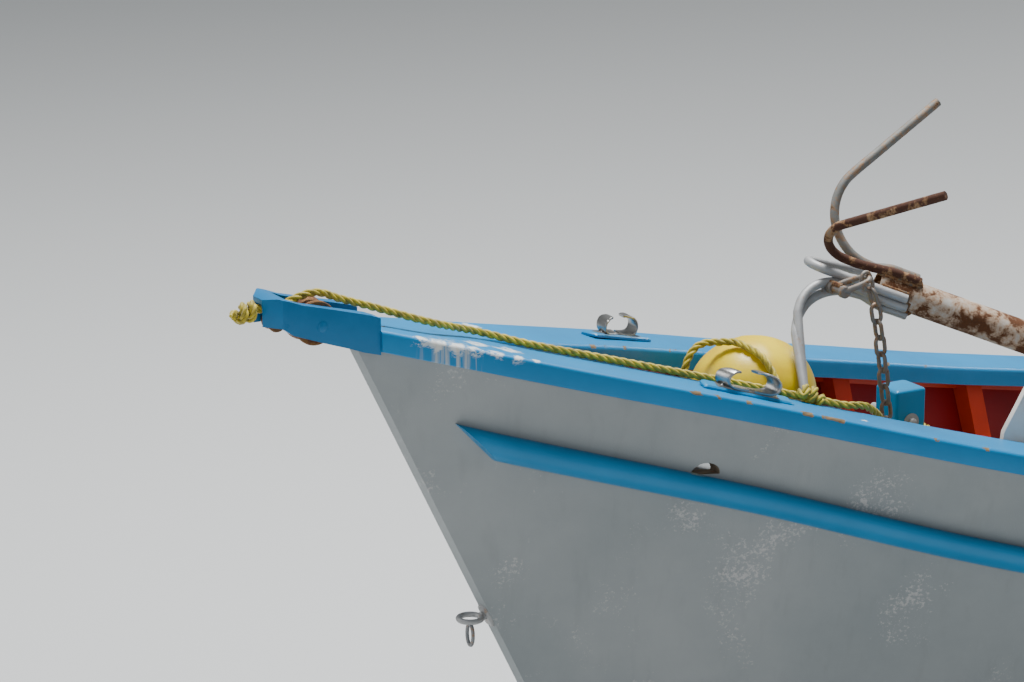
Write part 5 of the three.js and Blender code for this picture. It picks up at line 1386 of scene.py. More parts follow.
# the door: ledges across and stiles up, a small light in a frame, and a drop handle
shape = bmesh.new()
doorX = houseBack + 0.002
for z in (0.40, 1.00, 1.20, 1.90):
    addBlock(shape, (doorX - 0.009, 0.085, z - 0.035), (doorX + 0.0005, 0.515, z + 0.035))
for y in (0.075, 0.50):
    addBlock(shape, (doorX - 0.0088, y - 0.022, 0.36), (doorX + 0.0005, y + 0.022, 1.94))
doorLight = {"inner": 0.17, "outer": 0.42, "low": 1.30, "high": 1.78}
addBlock(shape, (doorX - 0.004, doorLight["inner"], doorLight["low"]),
         (doorX + 0.0005, doorLight["outer"], doorLight["high"]), 1, 0.0015)
addTrim(shape, wallPlane((doorX, 0, 0), (0, -1, 0), (0, 0, 1)), (-doorLight["outer"], doorLight["low"]),
        (-doorLight["inner"], doorLight["high"]), 0.022, 0.008, 2)
addBlock(shape, (doorX - 0.012, 0.082, 0.985), (doorX - 0.008, 0.122, 1.115), 3, 0.002)
makePiece("doorTrims", shape, "wheelhouse_door",
          [railBlueGloss, cabinGlass, varnishedMahogany, dippedZinc])

# Roof: a crowned panel with a rolled edge, and grab rails along it
roof = {"back": -0.44, "front": 1.23, "half": 0.64, "under": 2.1403, "edge": 2.166, "crown": 2.2,
    "roll": 0.009}
roofBack, roofFront, roofHalf, roofUnder, roofEdge, roofCrown, roll = roof.values()
shape = bmesh.new()
slices = [(roofBack, 0.35), (roofBack + roll / 3, 0.75)]
slices += [(roofBack + roll + (roofFront - roofBack - 2 * roll) * i / 12, 1) for i in range(13)]
slices += [(roofFront - roll / 3, 0.75), (roofFront, 0.35)]
rings = []
for x, share in slices:
    ring = []
    for i in range(19):
        y = -1 + i / 9
        over = (roofEdge - roofUnder + (roofCrown - roofEdge) * (1 - y * y) ** 0.8) * (0.72 + 0.28 * share)
        ring.append((x, y * (roofHalf - 0.004), roofUnder + over))
    corner = [(roofHalf, roofEdge - 0.007), (roofHalf, roofUnder + 0.004), (roofHalf - 0.004, roofUnder)]
    rings.append(ring + [(x, y, z) for y, z in corner] + [(x, -y, z) for y, z in corner[::-1]])
addSheetOfRings(shape, rings)
makePiece("roofPanel", shape, "boat", [railBlueGloss], ["wheelhouse_roof"], 50)
grab = {"y": 0.50, "seat": roofEdge + 0.0145, "tube": 0.0115, "feet": (-0.25, 0.13, 0.4, 0.67, 1.05)}
shape = bmesh.new()
for y in (grab["y"], -grab["y"]):
    seatZ = grab["seat"]
    bar = [(-0.25, -0.004), (-0.245, 0.03), (-0.22, 0.05), (-0.18, 0.056), (0.4, 0.056), (0.98, 0.056),
           (1.02, 0.05), (1.045, 0.03), (1.05, -0.004)]
    addTube(shape, smoothPath([(x, y, seatZ + rise) for x, rise in bar], 72), grab["tube"], 0, 16)
    for x in grab["feet"][1:-1]:
        addRod(shape, (x, y, seatZ - 0.004), (x, y, seatZ + 0.05), 0.009, 0, 16)
    for x in grab["feet"]:
        addLathe(shape, [(0.026, -0.004), (0.026, 0.001), (0.022, 0.004), (0.012, 0.005)],
                 (x, y, seatZ - 0.001), sides=24)
makePiece("grabRails", shape, "boat", [saltedStainless])

# Side lights on the roof's edges, in screens
sideLight = {"x": 0.72, "y": 0.575, "z": roofEdge + 0.004}
for sideName, side, lens in (("port", 1, lensRed), ("starboard", -1, lensGreen)):
    shape = bmesh.new()
    x, y, z = sideLight["x"], side * sideLight["y"], sideLight["z"]
    screenY = y - side * 0.04
    addBlock(shape, (x - 0.13, screenY - 0.004, z - 0.006), (x + 0.10, screenY + 0.004, z + 0.11))
    addBlock(shape, (x - 0.13, screenY, z - 0.006), (x - 0.12, y + side * 0.04, z + 0.11))
    addBlock(shape, (x - 0.07, y - 0.03, z - 0.006), (x, y + 0.03, z + 0.012))
    glass = [(0.028, 0.012), (0.031, 0.016), (0.0315, 0.03), (0.0315, 0.062), (0.029, 0.068), (0, 0.07)]
    addLathe(shape, glass, (x - 0.035, y, z), material=1, sides=28)
    addLathe(shape, [(0.034, 0.066), (0.034, 0.074), (0.026, 0.084), (0, 0.088)], (x - 0.035, y, z),
        sides=28)
    makePiece(f"sideLight{sideName.title()}", shape, "boat", [steelBlackPaint, lens])

# Mast: a tapered spar in a boxed step, with a crosstree, cleats and a light
mast = {"x": 0.3, "tree": 3.05, "foot": 2.1985, "cleat": 2.52, "light": 2.86}
mastX, treeZ, mastFoot, cleatZ, lightZ = mast.values()
shape = bmesh.new()
spar = [(0.034, mastFoot), (0.0345, 2.4), (0.033, 2.8), (0.029, treeZ), (0.024, 3.25), (0.019, 3.43),
        (0.0175, 3.447), (0, 3.447)]
addLathe(shape, spar, (mastX, 0, 0))
truck = [(0, 3.440), (0.026, 3.442), (0.030, 3.450), (0.030, 3.466), (0.024, 3.476), (0, 3.48)]
addLathe(shape, truck, (mastX, 0, 0), material=1)
tree = [(0.001, -0.34), (0.010, -0.34), (0.012, -0.335), (0.0145, -0.15), (0.0165, 0), (0.0145, 0.15),
        (0.012, 0.335), (0.010, 0.34), (0.001, 0.34)]
addLathe(shape, tree, (mastX + 0.028, 0, treeZ), (0, 1, 0), 0, 20)
for z in (treeZ - 0.028, treeZ + 0.028):
    addLathe(shape, [(0.0305, -0.008), (0.034, -0.007), (0.034, 0.007), (0.0305, 0.008)], (mastX, 0, z),
             material=1)
addBlock(shape, (mastX - 0.078, -0.078, mastFoot - 0.012), (mastX + 0.078, 0.078, mastFoot + 0.012), 0,
    0.004)
for side in (1, -1):
    cheekY, boltX = side * 0.052, mastX + side * 0.03
    addBlock(shape, (mastX - 0.05, cheekY - 0.012, mastFoot),
        (mastX + 0.05, cheekY + 0.012, mastFoot + 0.10),
             0, 0.005)
    addRod(shape, (boltX, -0.07, mastFoot + 0.075), (boltX, 0.07, mastFoot + 0.075), 0.006, 1, 14)
    for x in (-0.06, 0.06):
        addNut(shape, (mastX + x, side * 0.03, mastFoot + 0.0115), (0, 0, 1), 0.014, 0.007, 1)
    horn = [(0.034, -0.05), (0.048, -0.015), (0.05, 0), (0.048, 0.015), (0.054, 0.055)]
    addTube(shape, smoothPath([(mastX + side * out, 0, cleatZ + rise) for out, rise in horn], 20), 0.006, 1,
        10)
    addRod(shape, (mastX + side * 0.028, 0, cleatZ), (mastX + side * 0.05, 0, cleatZ), 0.007, 1, 12)
makePiece("mastSpar", shape, "boat", [houseWhiteEnamel, dippedZinc], ["mast"])
shape = bmesh.new()
lampAt = (mastX + 0.062, 0, lightZ)
addRod(shape, (mastX + 0.02, 0, lightZ), (mastX + 0.082, 0, lightZ), 0.010, 0, 14)
addLathe(shape, [(0.03, -0.004), (0.034, 0), (0.034, 0.012), (0.030, 0.016)], lampAt, sides=28)
glass = [(0.029, 0.014), (0.031, 0.02), (0.031, 0.058), (0.028, 0.064), (0, 0.066)]
addLathe(shape, glass, lampAt, material=1, sides=28)
addLathe(shape, [(0.034, 0.062), (0.034, 0.070), (0.024, 0.080), (0, 0.084)], lampAt, sides=28)
makePiece("mastheadLight", shape, "boat", [steelBlackPaint, lensClear])

# Dry exhaust: lagged pipe through a flashing on the roof, open at the top
stack = {"x": -0.06, "y": -0.43, "top": 2.76, "radius": 0.044, "bore": 0.039, "foot": 2.178}
stackX, stackY, stackTop, stackR, bore, stackFoot = stack.values()
shape = bmesh.new()
pipeProfile = [(0.001, stackTop - 0.12), (bore, stackTop - 0.12), (bore, stackTop - 0.001),
               (bore + 0.001, stackTop), (stackR - 0.001, stackTop), (stackR, stackTop - 0.001)]
for z in (2.70, 2.58, 2.46, 2.34):
    pipeProfile += [(stackR, z + 0.012), (stackR + 0.0022, z + 0.010), (stackR + 0.0022, z - 0.010),
                    (stackR, z - 0.012)]
pipeProfile += [(stackR, 2.27), (0.052, 2.262), (0.056, 2.255), (0.058, 2.246), (0.075, 2.222),
                (0.08, 2.214), (0.08, stackFoot - 0.012), (0.001, stackFoot - 0.012)]
addLathe(shape, pipeProfile, (stackX, stackY, 0), sides=40)
for t in circle(6):
    bolt = (stackX + 0.068 * math.cos(t), stackY + 0.068 * math.sin(t), 2.228)
    addNut(shape, bolt, (0.45 * math.cos(t), 0.45 * math.sin(t), 1), 0.009, 0.005, 1)
makePiece("exhaustPipe", shape, "boat", [rustedCasting, boltZinc], ["exhaust_stack"])
print("wheelhouse trimmed")

# Helm: instruments over the cabinet, doors on it, and the wheel
helm = {"face": 0.905, "from": -0.49, "to": -0.16, "y": -0.325, "z": 0.94, "wheel": 0.165, "tube": 0.012,
        "wheelX": 0.850, "lever": -0.120}
face, leverY = helm["face"], helm["lever"]
shape = bmesh.new()
console = [(0.93, 1.0805), (1.10, 1.0805), (1.10, 1.19), (1.04, 1.20), (0.945, 1.125)]
addPrism(shape, console, helm["from"], helm["to"], "y", 0, 0.005)
dialPlane = wallPlane((0.9925, 0, 1.1625), (0, -1, 0), (0.095, 0, 0.075))
out = dialPlane.to_3x3() @ Vector((0, 0, 1))
for y, radius in ((-0.43, 0.032), (-0.325, 0.040), (-0.22, 0.032)):
    place = dialPlane @ Vector((-y, 0, 0))
    bezel = [(radius + 0.005, -0.002), (radius + 0.005, 0.005), (radius + 0.003, 0.008), (radius, 0.008),
             (radius - 0.001, 0.004)]
    addLathe(shape, bezel, place, out, 1, 36)
    addLathe(shape, [(radius, 0.002), (radius - 0.002, 0.005), (0, 0.0055)], place, out, 2, 36)
makePiece("helmInstruments", shape, "boat",
    [varnishedMahogany, saltedStainless, dialFace])
shape = bmesh.new()
knob = [(0.005, 0), (0.005, 0.008), (0.011, 0.012), (0.012, 0.018), (0.008, 0.023), (0, 0.024)]
for y0, y1, knobY in ((-0.505, -0.33, -0.345), (-0.32, -0.145, -0.305)):
    addBlock(shape, (face - 0.009, y0, 0.29), (face + 0.001, y1, 0.72))
    addLathe(shape, knob, (face - 0.009, knobY, 0.60), (-1, 0, 0), 1, 20)
addBlock(shape, (face - 0.030, -0.185, 0.86), (face + 0.001, -0.145, 0.99), 1, 0.006)
addRod(shape, (face - 0.010, leverY, 0.93), (face - 0.028, leverY, 1.045), 0.006, 1, 14)
grip = [(0.002, -0.014), (0.011, -0.010), (0.014, 0), (0.011, 0.010), (0.002, 0.014)]
addLathe(shape, grip, (face - 0.030, leverY, 1.055), (-0.15, 0, 0.99), 2, 20)
makePiece("helmFittings", shape, "boat", [varnishedMahogany, dullBronze, blackNeoprene])
shape = bmesh.new()
centre = Vector((helm["wheelX"], helm["y"], helm["z"]))
rim = [centre + helm["wheel"] * Vector((0, math.cos(t), math.sin(t))) for t in circle(64)]
addTube(shape, rim, helm["tube"], 0, 14, True)
spoke = [(0.009, 0.024), (0.0075, 0.04), (0.0095, 0.055), (0.0065, 0.07), (0.0068, 0.10), (0.009, 0.118),
         (0.0105, 0.13), (0.0075, 0.142), (0.0085, 0.158)]
for t in circle(6):
    addLathe(shape, spoke, centre, (0, math.cos(t), math.sin(t)), 0, 16)
boss = [(0, -0.022), (0.026, -0.022), (0.031, -0.016), (0.032, -0.006), (0.032, 0.012), (0.028, 0.021),
        (0.013, 0.022), (0.0125, 0.14)]
addLathe(shape, boss, centre, (1, 0, 0))
addLathe(shape, [(0, -0.028), (0.010, -0.027), (0.017, -0.0235), (0.018, -0.0215)], centre, (1, 0, 0), 1,
    28)
makePiece("steeringWheel", shape, "steering_wheel", [varnishedMahogany, dullBronze],
          ["steering_wheel"])
print("helm fitted")

# Engine: crankcase, head and cover on bearers, with flywheel forward and gearbox aft
engine = {"aft": 0.065, "fore": 0.625, "low": -0.1995, "top": 0.48, "shaft": 0.12}
aft, fore, engineLow, engineTop, shaftZ = engine.values()
shape = bmesh.new()
crankcase = [(0.15, 0), (0.165, 0.04), (0.165, 0.27), (0.13, 0.30)]
sump = [(0.09, engineLow + 0.02), (0.13, -0.04), (0.14, 0.01)]
cover = [(0.075, 0.398), (0.078, 0.44), (0.055, 0.472)]
for half, x0, x1, finish, soft in ((crankcase, aft + 0.14, fore - 0.09, 0, 0.008),
                                   (sump, aft + 0.17, fore - 0.11, 1, 0.012),
                                   (cover, aft + 0.17, fore - 0.12, 1, 0.010)):
    addPrism(shape, half + [(-y, z) for y, z in half[::-1]], x0, x1, "x", finish, soft)
addBlock(shape, (aft + 0.15, -0.10, 0.29), (fore - 0.10, 0.10, 0.40), 0, 0.008)
addRod(shape, (fore - 0.095, 0, shaftZ), (fore - 0.012, 0, shaftZ), 0.165, 1, 48, bevel=0.008)
addRod(shape, (fore - 0.014, 0, shaftZ), (fore, 0, shaftZ), 0.05, 0, 32, bevel=0.003)
addRod(shape, (aft + 0.145, 0, 0.10), (aft + 0.05, 0, 0.07), 0.125, 0, 36, 0.095, bevel=0.008)
addRod(shape, (aft + 0.055, 0, 0.02), (aft, 0, 0), 0.05, 1, 32, bevel=0.003)
for x in (aft + 0.24, aft + 0.34, aft + 0.44):
    addRod(shape, (x, 0.05, 0.46), (x, 0.05, engineTop - 0.001), 0.014, 1)
    fuelPipe = [(x, 0.05, 0.45), (x, 0.085, 0.455), (x + 0.01, 0.115, 0.40), (x + 0.01, 0.165, 0.33),
                (x + 0.008, 0.17, 0.25)]
    addTube(shape, smoothPath(fuelPipe, 32), 0.0035, 2, 8)
    addRod(shape, (x, -0.095, 0.35), (x, -0.15, 0.33), 0.026, 1, 24)
manifold = [(aft + 0.18, -0.145, 0.325), ((aft + fore) / 2, -0.148, 0.328), (fore - 0.16, -0.145, 0.325)]
addTube(shape, smoothPath(manifold, 24), 0.031, 1, 20)
addBlock(shape, (aft + 0.24, 0.155, 0.15), (aft + 0.42, 0.178, 0.26), 2, 0.005)
oilFilter = [(0, -0.06), (0.034, -0.058), (0.037, -0.05), (0.037, 0.04), (0.034, 0.048), (0.018, 0.05),
             (0, 0.052)]
addLathe(shape, oilFilter, (fore - 0.14, 0.14, 0.22), material=3, sides=28)
for side in (1, -1):
    addBlock(shape, (aft + 0.10, side * 0.15, -0.06), (fore - 0.05, side * 0.18, 0.02), 3, 0.005)
    for x in (aft + 0.2, fore - 0.15):
        addBlock(shape, (x - 0.03, side * 0.12, 0.01), (x + 0.03, side * 0.18, 0.03), 0, 0.004)
        addNut(shape, (x, side * 0.16, 0.03), (0, 0, 1), 0.018, 0.012, 2)
for i in range(5):
    addNut(shape, (aft + 0.19 + 0.075 * i, 0, 0.4715), (0, 0, 1), 0.013, 0.007, 2)
makePiece("engineBlock", shape, "boat",
          [engineGreenEnamel, rustedCasting, boltZinc, steelBlackPaint], ["engine"])

# Casing: tongued boards with corner posts; the lid has battens, strap hinges and a lifting ring
casing = {"back": -0.115, "fore": 0.805, "half": 0.30, "top": 0.698, "foot": 0.2403, "lidTop": 0.724,
          "plinth": 0.05}
back, fore, half, top, foot, lidTop, plinth = casing.values()
shape = bmesh.new()
for side in (1, -1):
    for i in range(8):
        x = back + 0.012 + 0.1125 * i
        addBlock(shape, (x, side * (half - 0.001), foot + plinth), (x + 0.108, side * (half + 0.008), top),
                 0, 0.002)
    for x in (back - 0.009, fore - 0.02):
        addBlock(shape, (x, side * (half - 0.026), foot), (x + 0.029, side * (half + 0.010), top), 0, 0.005)
    addBlock(shape, (back + 0.02, side * (half - 0.001), foot),
        (fore - 0.02, side * (half + 0.011), foot + plinth))
for i in range(6):
    y = -half + 0.022 + 0.0935 * i
    for x in (fore - 0.001, back - 0.008):
        addBlock(shape, (x, y, foot + plinth), (x + 0.009, y + 0.089, top), 0, 0.002)
makePiece("casingBoards", shape, "boat", [varnishedMahogany])
shape = bmesh.new()
for i in range(6):
    y = -half - 0.002 + 0.1012 * i
    addBlock(shape, (back - 0.001, y, lidTop - 0.001), (fore + 0.001, y + 0.098, lidTop + 0.005), 0, 0.0015)
handle = [(-0.055, 0.004), (-0.05, 0.022), (-0.03, 0.031), (0.03, 0.031), (0.05, 0.022), (0.055, 0.004)]
addTube(shape, smoothPath([(fore - 0.09, y, lidTop + rise) for y, rise in handle], 40), 0.006, 1)
for y in (-0.2, 0.2):
    addBlock(shape, (back + 0.01, y - 0.02, lidTop + 0.004), (back + 0.16, y + 0.02, lidTop + 0.0075), 1,
        0.001)
    for x in (0.04, 0.09, 0.14):
        addLathe(shape, [(0.006, -0.001), (0.006, 0.001), (0.004, 0.0028), (0, 0.003)],
                 (back + x, y, lidTop + 0.0073), material=1, sides=14)
makePiece("casingLidBoards", shape, "engine_casing_lid", [varnishedMahogany, dullBronze])

# Winch: bolted plates, a chain case, brake levers, and drums wound with warp
winch = {"x": -1.1, "z": 0.56, "half": 0.42, "plate": 0.016, "flange": 0.15, "core": 0.105, "bore": 0.021,
         "base": 0.2403, "turns": 33}
winchX, winchZ, half, plate, flange, core, bore, base, turns = winch.values()
shape = bmesh.new()
bearing = [(0.062, -0.001), (0.062, 0.007), (0.058, 0.010), (0.045, 0.010), (0.042, 0.019), (0.03, 0.021),
           (0, 0.021)]
for end in (-1, 1):
    y = end * (half + 0.001)
    addLathe(shape, bearing, (winchX, y, winchZ), (0, end, 0), 0, 36)
    for t in circle(4, 0.5):
        bolt = (winchX + 0.052 * math.cos(t), y + end * 0.009, winchZ + 0.052 * math.sin(t))
        addNut(shape, bolt, (0, end, 0), 0.012, 0.006, 1)
for x in (winchX - 0.135, winchX + 0.135):
    for y in (-0.36, -0.2, -0.04, 0.08, 0.22, 0.36):
        addNut(shape, (x, y, base + 0.0445), (0, 0, 1), 0.019, 0.011, 1)
caseY, caseZ = -half - 0.13, winchZ - 0.015
# the chain case hangs a little lower than it is wide
case = []
for t in circle(28):
    reach = 0.085 if math.sin(t) > 0 else 0.10
    case.append((winchX + 0.085 * math.cos(t), caseZ + reach * math.sin(t)))
addPrism(shape, case, caseY - 0.012, caseY + 0.002, "y", 0, 0.004)
for t in circle(8, 0.5):
    bolt = (winchX + 0.073 * math.cos(t), caseY - 0.0115, caseZ + 0.08 * math.sin(t))
    addNut(shape, bolt, (0, -1, 0), 0.010, 0.005, 1)
addRod(shape, (winchX, caseY - 0.012, caseZ), (winchX, caseY - 0.05, caseZ), 0.028, 0, 28)
lever = [(-0.125, base + 0.04), (-0.155, 0.48), (-0.185, 0.70), (-0.215, 0.84)]
grip = [(0.008, -0.035), (0.013, -0.03), (0.0145, 0), (0.014, 0.05), (0.009, 0.058), (0, 0.06)]
for y in (-0.30, 0.30):
    stem = [(winchX + x, y, z) for x, z in lever]
    addTube(shape, smoothPath(stem, 30), 0.008, 0, 14)
    addLathe(shape, grip, stem[-1], (-0.2, 0, 0.98), 2, 20)
makePiece("winchFittings", shape, "boat", [steelBlackPaint, boltZinc, blackNeoprene])
drumHalf = (half - 1.5 * plate) / 2 - 0.007
step = (2 * drumHalf - 0.026) / turns
for sideName, side in (("port", 1), ("starboard", -1)):
    drumAt = Vector((winchX, side * (plate / 2 + 0.007 + drumHalf), winchZ))
    shape = bmesh.new()
    profile = [(bore, 0), (0.05, 0), (0.052, 0.001), (flange - 0.012, 0.001), (flange - 0.006, 0),
               (flange, 0.004), (flange, 0.008), (flange - 0.004, 0.012), (core, 0.012)]
    profile = [(radius, along - drumHalf) for radius, along in profile]
    profile += [(radius, -along) for radius, along in profile[::-1]]
    addLathe(shape, profile, drumAt, (0, 1, 0), 0, 56)
    # the warp lies in turns side by side
    wound = []
    for i in range(turns):
        for t in circle(10)[:5]:
            across = step * (i + 0.5 - 0.5 * math.cos(t))
            wound.append((core - 0.0004 + 0.0096 * math.sin(t), -drumHalf + 0.013 + across))
    wound.append((core - 0.0004, drumHalf - 0.013))
    addLathe(shape, wound, drumAt, (0, 1, 0), 1, 56)
    for t in circle(6):
        for end in (-1, 1):
            out = Vector((0.122 * math.cos(t), end * (drumHalf - 0.0005), 0.122 * math.sin(t)))
            addLathe(shape, [(0.007, -0.001), (0.007, 0.0012), (0.005, 0.0028), (0, 0.003)], drumAt + out,
                     (0, end, 0), 2, 14)
    makePiece(f"warpDrum{sideName.title()}", shape, f"winch_drum_{sideName}",
              [steelBlackPaint, greasedWire, boltZinc], [f"winch_drum_{sideName}"], 50)
print("engine and winch fitted")

# Fish hatch: steel corners on the coaming, boards and straps on the lid
hatch = {"x": -1.95, "half": 0.44, "lidTop": 0.444, "lidHalf": 0.446}
hatchX, half, lidTop, lidHalf = hatch.values()
rivet = [(0.006, -0.001), (0.006, 0.001), (0, 0.003)]
shape = bmesh.new()
for foreAft in (-1, 1):
    for side in (-1, 1):
        x, y = hatchX + foreAft * half, side * half
        inX, outX, inY, outY = x - foreAft * 0.07, x + foreAft * 0.003, y - side * 0.07, y + side * 0.003
        addBlock(shape, (inX, y, 0.27), (outX, outY, 0.39), 0, 0.001)
        addBlock(shape, (x, inY, 0.27), (outX, outY, 0.39), 0, 0.001)
        for z in (0.30, 0.36):
            addLathe(shape, rivet, (x - foreAft * 0.045, y + side * 0.0028, z), (0, side, 0), 0, 12)
            addLathe(shape, rivet, (x + foreAft * 0.0028, y - side * 0.045, z), (foreAft, 0, 0), 0, 12)
makePiece("hatchCorners", shape, "boat", [dippedZinc])
shape = bmesh.new()
for i in range(7):
    y = -lidHalf + 0.004 + 0.1264 * i
    addBlock(shape, (hatchX - lidHalf + 0.001, y, lidTop - 0.001),
             (hatchX + lidHalf - 0.001, y + 0.1236, lidTop + 0.0045), 0, 0.0015)
for x in (hatchX - 0.3, hatchX + 0.3):
    addBlock(shape, (x - 0.025, -lidHalf + 0.01, lidTop + 0.004),
        (x + 0.025, lidHalf - 0.01, lidTop + 0.0075),
             1, 0.001)
    for i in range(7):
        addLathe(shape, rivet, (x, -0.37 + 0.1233 * i, lidTop + 0.0073), material=1, sides=12)
makePiece("hatchLidBoards", shape, "hatch_lid", [deckGreyGrit, dippedZinc])

# Gantry: welded feet, gussets under the beam, and rung bars on the legs
gantry = {"x": -3.7, "leg": 0.69, "top": 2.3, "base": 0.2403, "block": 0.52}
gantryX, leg, gantryTop, base, blockY = gantry.values()
shape = bmesh.new()
for side in (1, -1):
    y = side * leg
    addBlock(shape, (gantryX - 0.085, y - 0.085, base + 0.0001), (gantryX + 0.085, y + 0.085, base + 0.012),
             0, 0.002)
    for a in (-0.066, 0.066):
        for b in (-0.066, 0.066):
            addNut(shape, (gantryX + a, y + b, base + 0.0115), (0, 0, 1), 0.018, 0.011, 1)
    gusset = [(side * (leg - 0.038), 2.222), (side * (leg - 0.15), 2.222), (side * (leg - 0.038), 2.07)]
    addPrism(shape, gusset, gantryX - 0.005, gantryX + 0.005, "x", 0, 0.001)
    rung = [(-0.036, 0.001), (-0.09, 0.001), (-0.10, 0.008), (-0.10, 0.10), (-0.09, 0.108), (-0.03, 0.108),
            (0, 0.10), (0, 0.036)]
    for z in (0.66, 0.94, 1.22, 1.78, 2.02):
        addTube(shape, smoothPath([(gantryX + x, y - side * inward, z) for x, inward in rung], 56), 0.008)
    # welds where the blocks' lugs meet the beam
    for dy in (-0.024, 0.024):
        weld = [(gantryX + dx, side * blockY + dy, gantryTop - 0.0795) for dx in (-0.026, 0.026)]
        addTube(shape, weld, 0.004, 2, 8)
lampAt = (gantryX - 0.01, 0, gantryTop + 0.004)
addLathe(shape, [(0.032, -0.006), (0.036, 0), (0.036, 0.014), (0.032, 0.018)], lampAt, sides=28)
glass = [(0.031, 0.016), (0.033, 0.022), (0.033, 0.066), (0.029, 0.074), (0, 0.076)]
addLathe(shape, glass, lampAt, material=3, sides=28)
makePiece("gantryFittings", shape, "boat", [steelBlueGloss, boltZinc, weldBead, lensClear])

# Towing blocks: pressed cheeks, a grooved sheave and a swivelling eye
block = {"pinZ": 2.172, "low": 2.052}
pinZ, low = block.values()
dish = [(0, 0.010), (0.060, 0.010), (0.0655, 0.0115), (0.066, 0.014), (0.0655, 0.017), (0.058, 0.018),
        (0.030, 0.018), (0.026, 0.0185), (0, 0.0185)]
strap = [(-0.018, low + 0.03), (0.018, low + 0.03), (0.018, pinZ + 0.004), (0.010, pinZ + 0.014),
         (-0.010, pinZ + 0.014), (-0.018, pinZ + 0.004)]
sheave = [(0.010, -0.0095), (0.053, -0.0095), (0.054, -0.0085), (0.0535, -0.006), (0.046, 0)]
sheave += [(radius, -along) for radius, along in sheave[-2::-1]]
for sideName, side in (("port", 1), ("starboard", -1)):
    y = side * blockY
    shape = bmesh.new()
    for end in (-1, 1):
        addLathe(shape, dish, (gantryX, y, low), (0, end, 0), 0, 44)
        addNut(shape, (gantryX, y + end * 0.018, low), (0, end, 0), 0.020, 0.004, 1)
    addPrism(shape, [(gantryX + x, z) for x, z in strap], y - 0.0108, y + 0.0108)
    addLathe(shape, sheave, (gantryX, y, low), (0, 1, 0), 2, 44)
    makePiece(f"towingBlock{sideName.title()}", shape, f"towing_block_{sideName}",
              [dippedZinc, boltZinc, rustedCasting], [f"towing_block_{sideName}"], 40)

# Trawl doors: oak planks between steel straps, shod along the foot
door = {"half": 0.45, "y": 0.872, "low": 0.83, "high": 1.35, "plank": 0.1235, "barZ": 1.4243, "bar": 0.0118}
half, doorY, z0, z1, plank, barZ, bar = door.values()
for sideName, side in (("port", 1), ("starboard", -1)):
    y = side * doorY
    shape = bmesh.new()
    for i in range(4):
        z = z0 + 0.027 + plank * i
        addBlock(shape, (gantryX - half + random.uniform(0, 0.003), y - 0.016, z),
                 (gantryX + half - random.uniform(0, 0.003), y + 0.016, z + plank - 0.003), 0, 0.004)
    addBlock(shape, (gantryX - half, y - 0.027, z0 - 0.03), (gantryX + half, y + 0.027, z0 + 0.025), 1,
        0.007)
    for x in (gantryX - 0.38, gantryX - 0.14, gantryX + 0.14, gantryX + 0.38):
        addBlock(shape, (x - 0.03, y - 0.0195, z0 + 0.02), (x + 0.03, y + 0.0195, z1 - 0.001), 1, 0.0015)
        for i in range(4):
            for end in (-1, 1):
                bolt = (x, y + end * 0.019, z0 + 0.088 + plank * i)
                addNut(shape, bolt, (0, end, 0), 0.018, 0.007, 2)
    for x in (gantryX - 0.11, gantryX + 0.11):
        addRod(shape, (x, y, z1 - 0.03), (x, y, barZ + 0.004), bar, 1)
    addRod(shape, (gantryX - 0.122, y, barZ), (gantryX + 0.122, y, barZ), bar, 1)
    makePiece(f"trawlDoor{sideName.title()}", shape, "boat",
              [silveredOak, rustedCasting, boltZinc], [f"trawl_door_{sideName}"], 40)

# Propeller: three twisted blades on a tapered boss, with its nut
propeller = {"mid": -3.466, "z": -0.47, "pitch": 0.30, "start": 0.1}
propellerAt = (propeller["mid"], 0, propeller["z"])
# radius, chord, thickness
bladeSections = [
    (0.037, 0.078, 0.015), (0.055, 0.100, 0.015), (0.078, 0.122, 0.014), (0.105, 0.136, 0.012),
    (0.135, 0.138, 0.010), (0.165, 0.118, 0.008), (0.180, 0.096, 0.0065), (0.190, 0.074, 0.0055),
    (0.196, 0.054, 0.005), (0.1992, 0.03, 0.004)]
hub = [(0, -0.109), (0.010, -0.108), (0.0138, -0.100), (0.014, -0.066), (0.036, -0.0645), (0.040, -0.058),
       (0.042, -0.02), (0.0418, 0.03), (0.040, 0.060), (0.036, 0.0635), (0.019, 0.064), (0, 0.064)]
shape = bmesh.new()
addLathe(shape, hub, propellerAt, (1, 0, 0), 0, 44)
addNut(shape, (propeller["mid"] - 0.064, 0, propeller["z"]), (-1, 0, 0), 0.034, 0.016)
for angle in circle(3):
    turned = Matrix.Translation(propellerAt) @ Matrix.Rotation(angle + propeller["start"], 4, "X")
    rings = []
    for r, chord, thick in bladeSections:
        twist = math.atan(propeller["pitch"] / (2 * math.pi * r))
        c, s = math.cos(twist), math.sin(twist)
        section = [(chord / 2 * math.cos(t), thick / 2 * math.sin(t)) for t in circle(16)]
        rings.append([turned @ Vector((a * s + b * c, a * c - b * s, r)) for a, b in section])
    addSheetOfRings(shape, rings)
makePiece("screw", shape, "propeller", [dullBronze], ["propeller"], 50)

# Rudder: stiffeners across the plate
shape = bmesh.new()
for z, back in ((-0.68, -4.17), (-0.50, -4.17), (-0.32, -4.16)):
    rib = [(back, z - 0.006), (-3.80, z - 0.022), (-3.80, z + 0.022), (back, z + 0.006)]
    for low in (0.0145, -0.021):
        addPrism(shape, rib, low, low + 0.0065, "y", 0, 0.002)
makePiece("rudderStiffeners", shape, "rudder", [bottomGreenCopper])
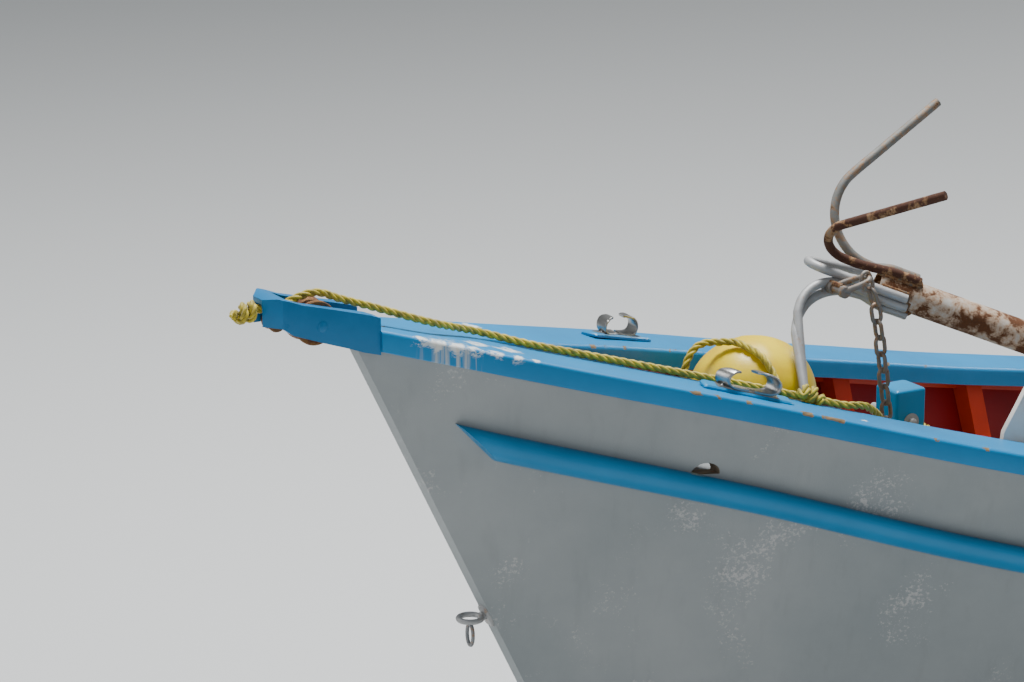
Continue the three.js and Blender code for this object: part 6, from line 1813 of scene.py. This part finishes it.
# anodes bolted on the keel
shape = bmesh.new()
anode = [(-0.09, -0.70), (-0.075, -0.725), (0.075, -0.722), (0.09, -0.697), (0.075, -0.672),
    (-0.075, -0.675)]
for x in (-2.9, -2.2):
    for low in (0.0495, -0.066):
        addPrism(shape, [(x + dx, z) for dx, z in anode], low, low + 0.0165, "y", 0, 0.007)
makePiece("keelAnodes", shape, "boat", [dippedZinc])
print("stern gear placed")

# Anything of the CAD that still shows takes a finish that suits its own
finishes = {
    "hull_paint": hullGreyChalk, "deck_paint": deckGreyGrit, "bottom_paint": bottomGreenCopper,
    "rail_paint": railBlueGloss, "rib_paint": framePaintedSunlitRed, "blue_steel": steelBlueGloss,
    "rusty_iron": rustedPipe, "stainless": saltedStainless, "galvanised": dippedZinc,
    "float_plastic": mouldedFloatYellow, "board_paint": boardWhiteEnamel, "rope_fibre": laidYellowRope,
    "window_glass": cabinGlass, "dark_steel": steelBlackPaint, "engine_iron": engineGreenEnamel,
    "varnished_wood": varnishedMahogany, "bronze": dullBronze}
slotOf = {entry["node"]: entry["material_slot"] for entry in frame["record"]["subparts"]}
for name, node in frame["nodes"].items():
    if node.hide_render:
        continue
    node.data.materials.clear()
    node.data.materials.append(finishes.get(slotOf.get(name), steelBlackPaint))
    node.data.set_sharp_from_angle(angle=math.radians(32))

# A pale floor at the waterline and a soft studio round it
floorMesh = bpy.data.meshes.new("floor")
floorMesh.from_pydata([(-40, -40, 0), (40, -40, 0), (40, 40, 0), (-40, 40, 0)], [], [(0, 1, 2, 3)])
floor = bpy.data.objects.new("floor", floorMesh)
bpy.context.scene.collection.objects.link(floor)
floorPaint, floorTree, floorShader = startMaterial("paleFloor")
setSockets(floorTree, floorShader, {"Base Color": linear("#c9cbcb"), "Roughness": 0.7})
floorMesh.materials.append(floorPaint)

world = bpy.data.worlds.new("studio")
bpy.context.scene.world = world
world.use_nodes = True
backdrop = {"Color": linear("#dfe4e8"), "Strength": 0.38}
setSockets(world.node_tree, world.node_tree.nodes["Background"], backdrop)

lights = [
    # name, place, aim, watts, width
    ("key", (2.2, -1.5, 8.5), (2.8, 0.0, 1.0), 1250, 2.2),
    ("front", (9.5, 6.5, 4.0), (3.5, 0.0, 0.9), 120, 4.0),
    ("fill", (12.0, -6.0, 6.0), (2.0, 0.0, 0.8), 420, 6.0),
    ("stern", (-11.0, -5.0, 7.0), (-1.0, 0.0, 0.8), 600, 5.0),
]
for name, place, aim, watts, width in lights:
    data = bpy.data.lights.new(name, "AREA")
    data.energy = watts
    data.size = width
    lamp = bpy.data.objects.new(name, data)
    lamp.location = place
    lamp.rotation_euler = (Vector(aim) - Vector(place)).to_track_quat("-Z", "Y").to_euler()
    bpy.context.scene.collection.objects.link(lamp)
print("stage lit")
